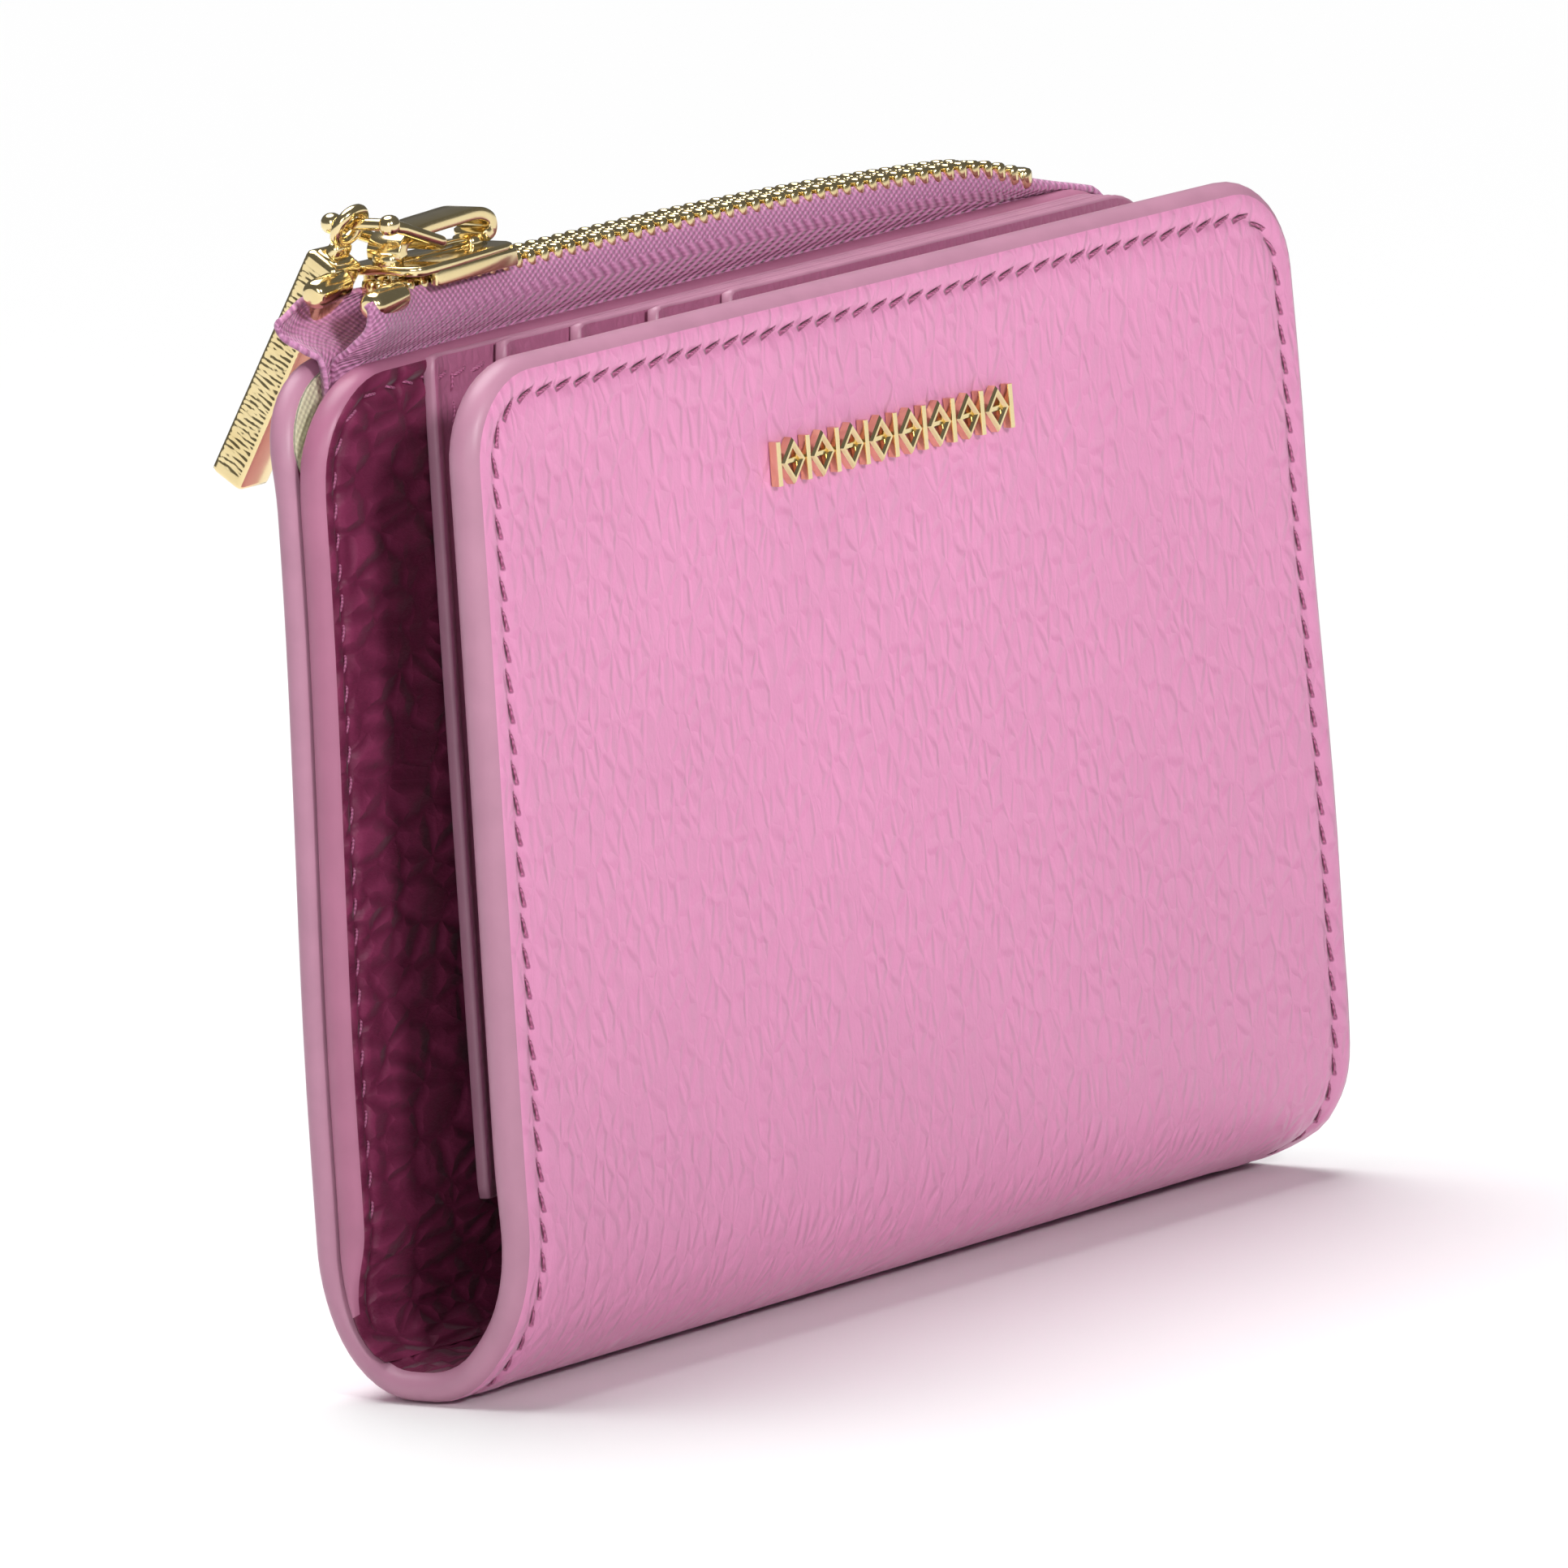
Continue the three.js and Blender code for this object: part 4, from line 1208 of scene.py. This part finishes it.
def make_teeth(name, side, node):
    parts = []
    start = CHAIN_START + (TOOTH_PITCH / 2 if side > 0 else 0)
    for x in np.arange(start, CHAIN_END, TOOTH_PITCH):
        z = CHAIN_TOP - TOOTH_HALF_HIGH - float(chain_drop(x))
        y = ZIP_Y + side * 1.9 * float(end_spread(x)) * (1 if side > 0 else 0.7)
        parts.append(nub((x, y + side * 1.42, z - 0.02), (0.50, 0.66, 0.84)))
        parts.append(nub((x, y + side * 0.42, z + 0.05), (0.36, 0.86, 0.62)))
        parts.append(nub((x, y - side * 0.18, z + 0.12), (0.44, 0.34, 0.66)))
    place_gold(name, parts, "back_leaf", node)


make_teeth("teeth_inner", -1, "zip_teeth_inner")
make_teeth("teeth_outer", 1, "zip_teeth_outer")


def turned(profile, sides=24):
    """A body turned about Z from [radius, z] points; the first and last radius are 0."""
    inner = profile[1:-1]
    angles = [2 * math.pi * j / sides for j in range(sides)]
    verts = [(r * math.cos(a), r * math.sin(a), z) for r, z in inner for a in angles]
    verts += [(0, 0, profile[0][1]), (0, 0, profile[-1][1])]
    return np.array(verts), ring_faces(len(inner), sides) + pole_faces(len(inner), sides)


def aimed(verts, centre, direction):
    """Turns verts, drawn about Z, to point along direction at centre, all in millimetres."""
    turn = np.array(Vector(direction).to_track_quat("Z", "Y").to_matrix())
    return (np.asarray(verts) @ turn.T + centre) * MM


STOP_LENGTH = 4.6
STOP_R = 1.2
for name, start, node in (("stop_inner", (-47.7, 5.55, 86.75), "zip_top_stop_inner"),
                          ("stop_outer", (-48.9, 10.3, 87.75), "zip_top_stop_outer")):
    half = STOP_LENGTH / 2
    outline = [(0, -half), (0.62, -half), (0.9, -half + 0.1), (1.06, -half + 0.32), (STOP_R, -half + 0.7),
               (STOP_R, half - 0.7), (1.0, half - 0.3), (0.7, half), (0, half)]
    verts, faces = turned(outline)
    middle = np.array(start) + (half, 0, 0.2)
    place_gold(name, [(aimed(verts, middle, (1, 0, 0.12)), faces)], "back_leaf", node)

end_z = CHAIN_TOP - TOOTH_HALF_HIGH - float(chain_drop(CHAIN_END))
place_gold("stop_end", [nub((CHAIN_END + 0.1, ZIP_Y, end_z), (0.8, 1.9, 0.85), 0.4)], "back_leaf",
           "zip_bottom_stop")

# ------------------------------------------------------------------ slider
# A die-cast slider: an upper plate with turned-down flanges and a raised spine, a lower plate between
# the tapes, and a strap-like crown riveted over it that ends in an open hook.
SLIDER_X = -35
PLATE_Z = 88.35
DECK = 89.15
LOWER_PLATE = (84.65, 85.4)
NECK = (85.2, 88.6)
FLANGE = (87.3, 88.6)


def rounded_prism(outline, z0, z1, bevel, steps=3):
    """An outline in (x, y), extruded in z, with its top and bottom edges rounded by bevel."""
    outline = np.asarray(outline, float)
    following = np.roll(outline, -1, 0)
    ahead = following - np.roll(outline, 1, 0)
    ahead /= np.linalg.norm(ahead, axis=1)[:, None]
    inward = np.stack([-ahead[:, 1], ahead[:, 0]], -1)
    if np.sum(outline[:, 0] * following[:, 1] - outline[:, 1] * following[:, 0]) < 0:
        inward = -inward
    turn = [math.pi / 2 * k / steps for k in range(steps + 1)]
    levels = [(z0 + bevel * (1 - math.cos(t)), bevel * (1 - math.sin(t))) for t in turn]
    levels += [(z1 - (z - z0), i) for z, i in reversed(levels)]
    verts = [(x, y, z) for z, inset in levels for x, y in outline + inward * inset]
    count = len(outline)
    return np.array(verts), ring_faces(len(levels), count) + end_caps(len(levels), count)


def plate_outline(nose, tail, length):
    """Shield outline of a slider plate about x = 0: wide at the nose, narrower at the tail."""
    half = length / 2
    right = [(-half + 1.0, -nose), (-half * 0.2, -nose * 0.93), (half - 1.6, -tail),
             (half - 0.5, -tail + 0.35), (half, -tail + 1.1)]
    left = [(x, -y) for x, y in reversed(right)]
    dip = [(-half + 0.2, nose - 0.5), (-half - 0.25, nose * 0.55), (-half + 0.25, 0),
           (-half - 0.25, -nose * 0.55), (-half + 0.2, -nose + 0.5)]
    return right + left + dip


def moved(piece, dx=0, dy=0, dz=0):
    verts, faces = piece
    return (np.asarray(verts, float) + (dx, dy, dz)) * MM, faces


slider_parts = [
    moved(rounded_prism(plate_outline(4.0, 3.0, 14.4), PLATE_Z, DECK, 0.26), SLIDER_X, ZIP_Y),
    moved(rounded_prism(plate_outline(1.9, 1.9, 13), *LOWER_PLATE, 0.25), SLIDER_X, ZIP_Y),
    moved(rounded_prism([(-6, -0.22), (-3, -0.22), (-3, 0.22), (-6, 0.22)], *NECK, 0.05), SLIDER_X, ZIP_Y),
]
for side in (-1, 1):
    flange = [(-4.6, 3.05), (6.6, 2.35), (6.9, 2.6), (6.9, 2.95), (6.5, 3.2), (-4.4, 3.9), (-4.8, 3.6)]
    flange = [(x, y * side) for x, y in flange]
    slider_parts.append(moved(rounded_prism(flange, *FLANGE, 0.16), SLIDER_X, ZIP_Y))
spine = [(-6.6, -0.9), (6.0, -0.7), (6.4, 0), (6.0, 0.7), (-6.6, 0.9), (-7, 0)]
slider_parts.append(moved(rounded_prism(spine, DECK - 0.3, DECK + 0.22, 0.18), SLIDER_X, ZIP_Y))
for post_x, top in ((-6.1, 90.2), (4.3, 90.0)):
    slider_parts.append(nub((SLIDER_X + post_x, ZIP_Y, (DECK + top) / 2 - 0.2), (0.9, 1.25, 0.75), 0.6))
place_gold("slider_casting", slider_parts, "slider", "slider_body")


def eased_section(wide, thick, bevel):
    """The twelve points of a rectangle with eased corners."""
    w, t, b, c = wide / 2, thick / 2, bevel, bevel * 0.3
    return [(-w + b, -t), (w - b, -t), (w - c, -t + c), (w, -t + b), (w, t - b), (w - c, t - c),
            (w - b, t), (-w + b, t), (-w + c, t - c), (-w, t - b), (-w, -t + b), (-w + c, -t + c)]


def strap(route, width, thick, bevel=0.14):
    """A flat strap with eased edges swept along a route in the plane of x and z."""
    ahead = np.gradient(route, axis=0)
    ahead /= np.linalg.norm(ahead, axis=1)[:, None]
    normal = np.stack([-ahead[:, 1], ahead[:, 0]], -1)
    section = eased_section(width, thick, bevel)
    verts = []
    ends = np.minimum(np.arange(len(route)), np.arange(len(route))[::-1])
    for p, n, e in zip(route, normal, ends):
        shrink = (0.55, 0.85, 1)[min(e, 2)]
        verts += [(p[0] + n[0] * h * shrink, y * (0.5 + 0.5 * shrink), p[1] + n[1] * h * shrink)
                  for y, h in section]
    return verts, ring_faces(len(route), len(section)) + end_caps(len(route), len(section))


CROWN_ROUTE = [(-6, 0.3), (-6.1, 1.2), (-5.3, 2.0), (-3, 2.4), (1.0, 2.6), (4.0, 2.65), (5.5, 2.05),
               (5.6, 1.1), (4.6, 0.65)]
place_gold("crown_strap", [moved(strap(curve_through(CROWN_ROUTE, 56), 3.4, 1.05), SLIDER_X, ZIP_Y, DECK)],
           "slider", "slider_crown")
LOCK_ROUTE = [(0, 0.5), (1.5, 0.62), (3.2, 0.55), (4.5, 0.35)]
place_gold("lock_leaf", [moved(strap(curve_through(LOCK_ROUTE, 14), 1.2, 0.3, 0.08), SLIDER_X, ZIP_Y, DECK)],
           "slider", "slider_lock_spring")

# ------------------------------------------------------------------ link
# A bent wire frame joins the crown to the puller. It slopes up past the nose of the slider, and its
# outer corners are beaded where the wire is upset.
LINK_RISE = math.radians(20)
LINK_LENGTH = 7.2
LINK_HALF = 3.3
LINK_WIRE = 0.52
LINK_PIVOT = np.array([-37.6, ZIP_Y, 90.4])


def closed_tube(points, radius, sides=12):
    """A wire of that radius round a closed loop of points."""
    points = np.asarray(points, float)
    ahead = np.roll(points, -1, 0) - np.roll(points, 1, 0)
    ahead /= np.linalg.norm(ahead, axis=1)[:, None]
    up = np.cross(points[len(points) // 4] - points.mean(0), points[0] - points.mean(0))
    up /= np.linalg.norm(up)
    verts = []
    for p, t in zip(points, ahead):
        side = np.cross(t, up)
        verts += [p + radius * (math.cos(a) * up + math.sin(a) * side)
                  for a in np.arange(sides) * 2 * math.pi / sides]
    return np.array(verts), ring_faces(len(points), sides, closed=True)


def link_frame():
    """Middle line of the wire: a rectangle with round corners, from the crown's bar outwards."""
    r = 1.3
    near, far, across = -r + 0.1, -LINK_LENGTH + r, LINK_HALF - r
    turns = [math.pi / 2 * k / 8 for k in range(9)]
    return [(cx + r * math.cos(start + a), cy + r * math.sin(start + a), 0)
            for cx, cy, start in ((near, -across, -math.pi / 2), (near, across, 0),
                                  (far, across, math.pi / 2), (far, -across, math.pi)) for a in turns]


def turn_about_y(verts, angle):
    c, s = math.cos(angle), math.sin(angle)
    x, y, z = np.asarray(verts, float).T
    return np.stack([c * x + s * z, y, -s * x + c * z], -1)


verts, faces = closed_tube(link_frame(), LINK_WIRE)
link_parts = [((turn_about_y(verts, LINK_RISE) + LINK_PIVOT) * MM, faces)]
for side in (-1, 1):
    knob = turn_about_y([(-LINK_LENGTH + 0.1, side * (LINK_HALF - 0.4), 0)], LINK_RISE)[0] + LINK_PIVOT
    link_parts.append(nub(knob, (0.85, 0.85, 0.85), 0.9, 10, 16))
place_gold("link_wire", link_parts, "link", "pull_link")

# ------------------------------------------------------------------ puller
# A chunky bar hangs from the link by a ring. Its corners are bevelled, its narrow sides are cut with
# fine cross grooves, and its foot is turned down to a bright bevel.
PULLER_LEAN = math.radians(32)
PULLER_TOP = 3.1
PULLER_LENGTH = 21.5
PULLER_WIDE = 3.8
PULLER_THICK = 3.3
PULLER_EASE = 0.42
GROOVE_PITCH = 0.5
EYE = LINK_PIVOT + [-LINK_LENGTH * math.cos(LINK_RISE), 0.95, LINK_LENGTH * math.sin(LINK_RISE)]


def groove_depth(z, row, seed):
    """Depth of the cut grooves at z down one of the rows across a side."""
    wander = 0.13 * math.sin(z * 2.1 + seed + row * 1.7) + 0.07 * math.sin(z * 5.3 + row * 2.9)
    cut = 0.5 + 0.5 * math.sin(2 * math.pi * (z + wander) / GROOVE_PITCH)
    return 0.11 * cut ** 1.5 * (0.7 + 0.3 * math.sin(z * 1.3 + 2.1 * row + seed))


def puller_bar():
    ease = PULLER_EASE
    levels = [0, 0.12, 0.3, *np.linspace(0.5, PULLER_LENGTH - 0.5, 250)]
    levels += [PULLER_LENGTH - 0.3, PULLER_LENGTH - 0.12, PULLER_LENGTH]
    w = PULLER_WIDE / 2
    inner = PULLER_THICK / 2 - ease - 0.12
    rows = np.linspace(-inner, inner, 6)
    section = eased_section(PULLER_WIDE, PULLER_THICK, ease)
    verts = []
    for z in levels:
        end = min(z, PULLER_LENGTH - z)
        deep = float(smooth_step(0.9, 1.3, end))
        right = [(w - deep * groove_depth(z, n, 4.0), y) for n, y in enumerate(rows)]
        left = [(-w + deep * groove_depth(z, n, 0.0), y) for n, y in enumerate(rows[::-1])]
        ring = section[:4] + right + section[4:10] + left + section[10:]
        k = 1 - ease * (1 - min(1, end / ease)) ** 2 / w
        verts += [(x * k, y * k, -PULLER_TOP - z) for x, y in ring]
    caps = [f[::-1] for f in end_caps(len(levels), len(ring))]
    return np.array(verts), ring_faces(len(levels), len(ring)) + caps


def lean_out(verts):
    c, s = math.cos(PULLER_LEAN), math.sin(PULLER_LEAN)
    x, y, z = np.asarray(verts, float).T
    return (np.stack([x, c * y - s * z, s * y + c * z], -1) + EYE) * MM


eye_ring = [(1.5 * math.cos(a), 0, 1.5 * math.sin(a) - 0.2) for a in np.linspace(0, 2 * math.pi, 33)[:-1]]
puller_parts = [(lean_out(verts), faces) for verts, faces in (puller_bar(), closed_tube(eye_ring, 0.5))]
for z, radii in ((-2.75, (1.15, 0.62, 0.95)), (-3.25, (1.5, 1.3, 0.4))):
    verts, faces = nub((0, 0, z), radii, 0.5)
    puller_parts.append((lean_out(verts / MM), faces))
place_gold("puller", puller_parts, "puller", "puller_bar")

# ------------------------------------------------------------------ badge
# A slim gold ornament is pinned through the front cover: a row of open lozenges between upright bars,
# cast in one piece on a thin rail.
BADGE_X = -1.4
BADGE_Z = 70
BADGE_LONG = 31
BADGE_HIGH = 3.8
LOZENGES = 8
BADGE_BACK = -DEPTH_HALF - 0.05


def badge_block(x, z, half_long, half_high, thick, bevel):
    """A bevelled bar that lies on the front cover."""
    outline = [(-half_long, -half_high), (half_long, -half_high), (half_long, half_high),
               (-half_long, half_high)]
    verts, faces = rounded_prism(outline, 0, thick, bevel)
    dx, dz, up = verts.T
    return np.stack([dx + x, BADGE_BACK - up + leaf_bow(dx + x, dz + z, False), dz + z], -1) * MM, faces


def lozenge(x, wide, high, bar=0.42):
    """An open lozenge with a crowned rim."""
    rings = [(1.0, 0), (1.0, 0.72), (1 - bar * 0.3, 0.95), (1 - bar * 0.7, 0.95), (1 - bar, 0.72),
             (1 - bar, 0)]
    corners = [(-wide, 0), (0, -high), (wide, 0), (0, high)]
    verts = [(x + cx * scale, BADGE_BACK - up + float(leaf_bow(x, BADGE_Z, False)), BADGE_Z + cz * scale)
             for scale, up in rings for cx, cz in corners]
    return np.array(verts) * MM, ring_faces(len(rings), len(corners), closed=True)


badge_parts = [badge_block(BADGE_X, BADGE_Z, BADGE_LONG / 2 - 0.2, 0.24, 0.5, 0.08)]
pitch = BADGE_LONG / LOZENGES
for k in range(LOZENGES):
    x = BADGE_X + (k - (LOZENGES - 1) / 2) * pitch
    badge_parts.append(lozenge(x, pitch * 0.40, BADGE_HIGH / 2))
for k in range(LOZENGES + 1):
    x = BADGE_X + (k - LOZENGES / 2) * pitch * 0.995
    badge_parts.append(badge_block(x, BADGE_Z, 0.27, BADGE_HIGH / 2 - 0.1, 0.9, 0.14))
place_gold("badge", badge_parts, "front_cover", "badge_bar", smooth=False)

# ------------------------------------------------------------------ press stud
# A sprung gold stud keeps the wallet shut: the post sits on the card slots, the socket on the front
# cover's lining.
STUD_Z = 72
POST_PROFILE = [(0, -0.4), (5.0, -0.4), (5.4, 0), (5.3, 0.35), (4.7, 0.75), (3.2, 0.85), (2.4, 0.8),
                (1.35, 0.9), (1.25, 1.4), (1.65, 1.9), (1.6, 2.2), (1.2, 2.4), (0, 2.4)]
SOCKET_PROFILE = [(0, -0.4), (5.0, -0.4), (5.4, 0), (5.4, 0.7), (5.1, 1.3), (4.4, 1.75), (3.4, 1.9),
                  (2.5, 1.85), (2.1, 1.5), (2.15, 0.6), (0, 0.6)]
for name, profile, y, way, body, node in (
        ("stud_post", POST_PROFILE, WALL_FACE - SLOT_PITCH * 5 - 0.3, -1, "back_leaf", "press_stud_post"),
        ("stud_socket", SOCKET_PROFILE, FRONT_INSIDE + SLOT_PITCH * 3 + 0.3, 1, "front_cover",
         "press_stud_socket")):
    verts, faces = turned(profile, 40)
    place_gold(name, [(aimed(verts, (0, y, STUD_Z), (0, way, 0)), faces)], body, node)
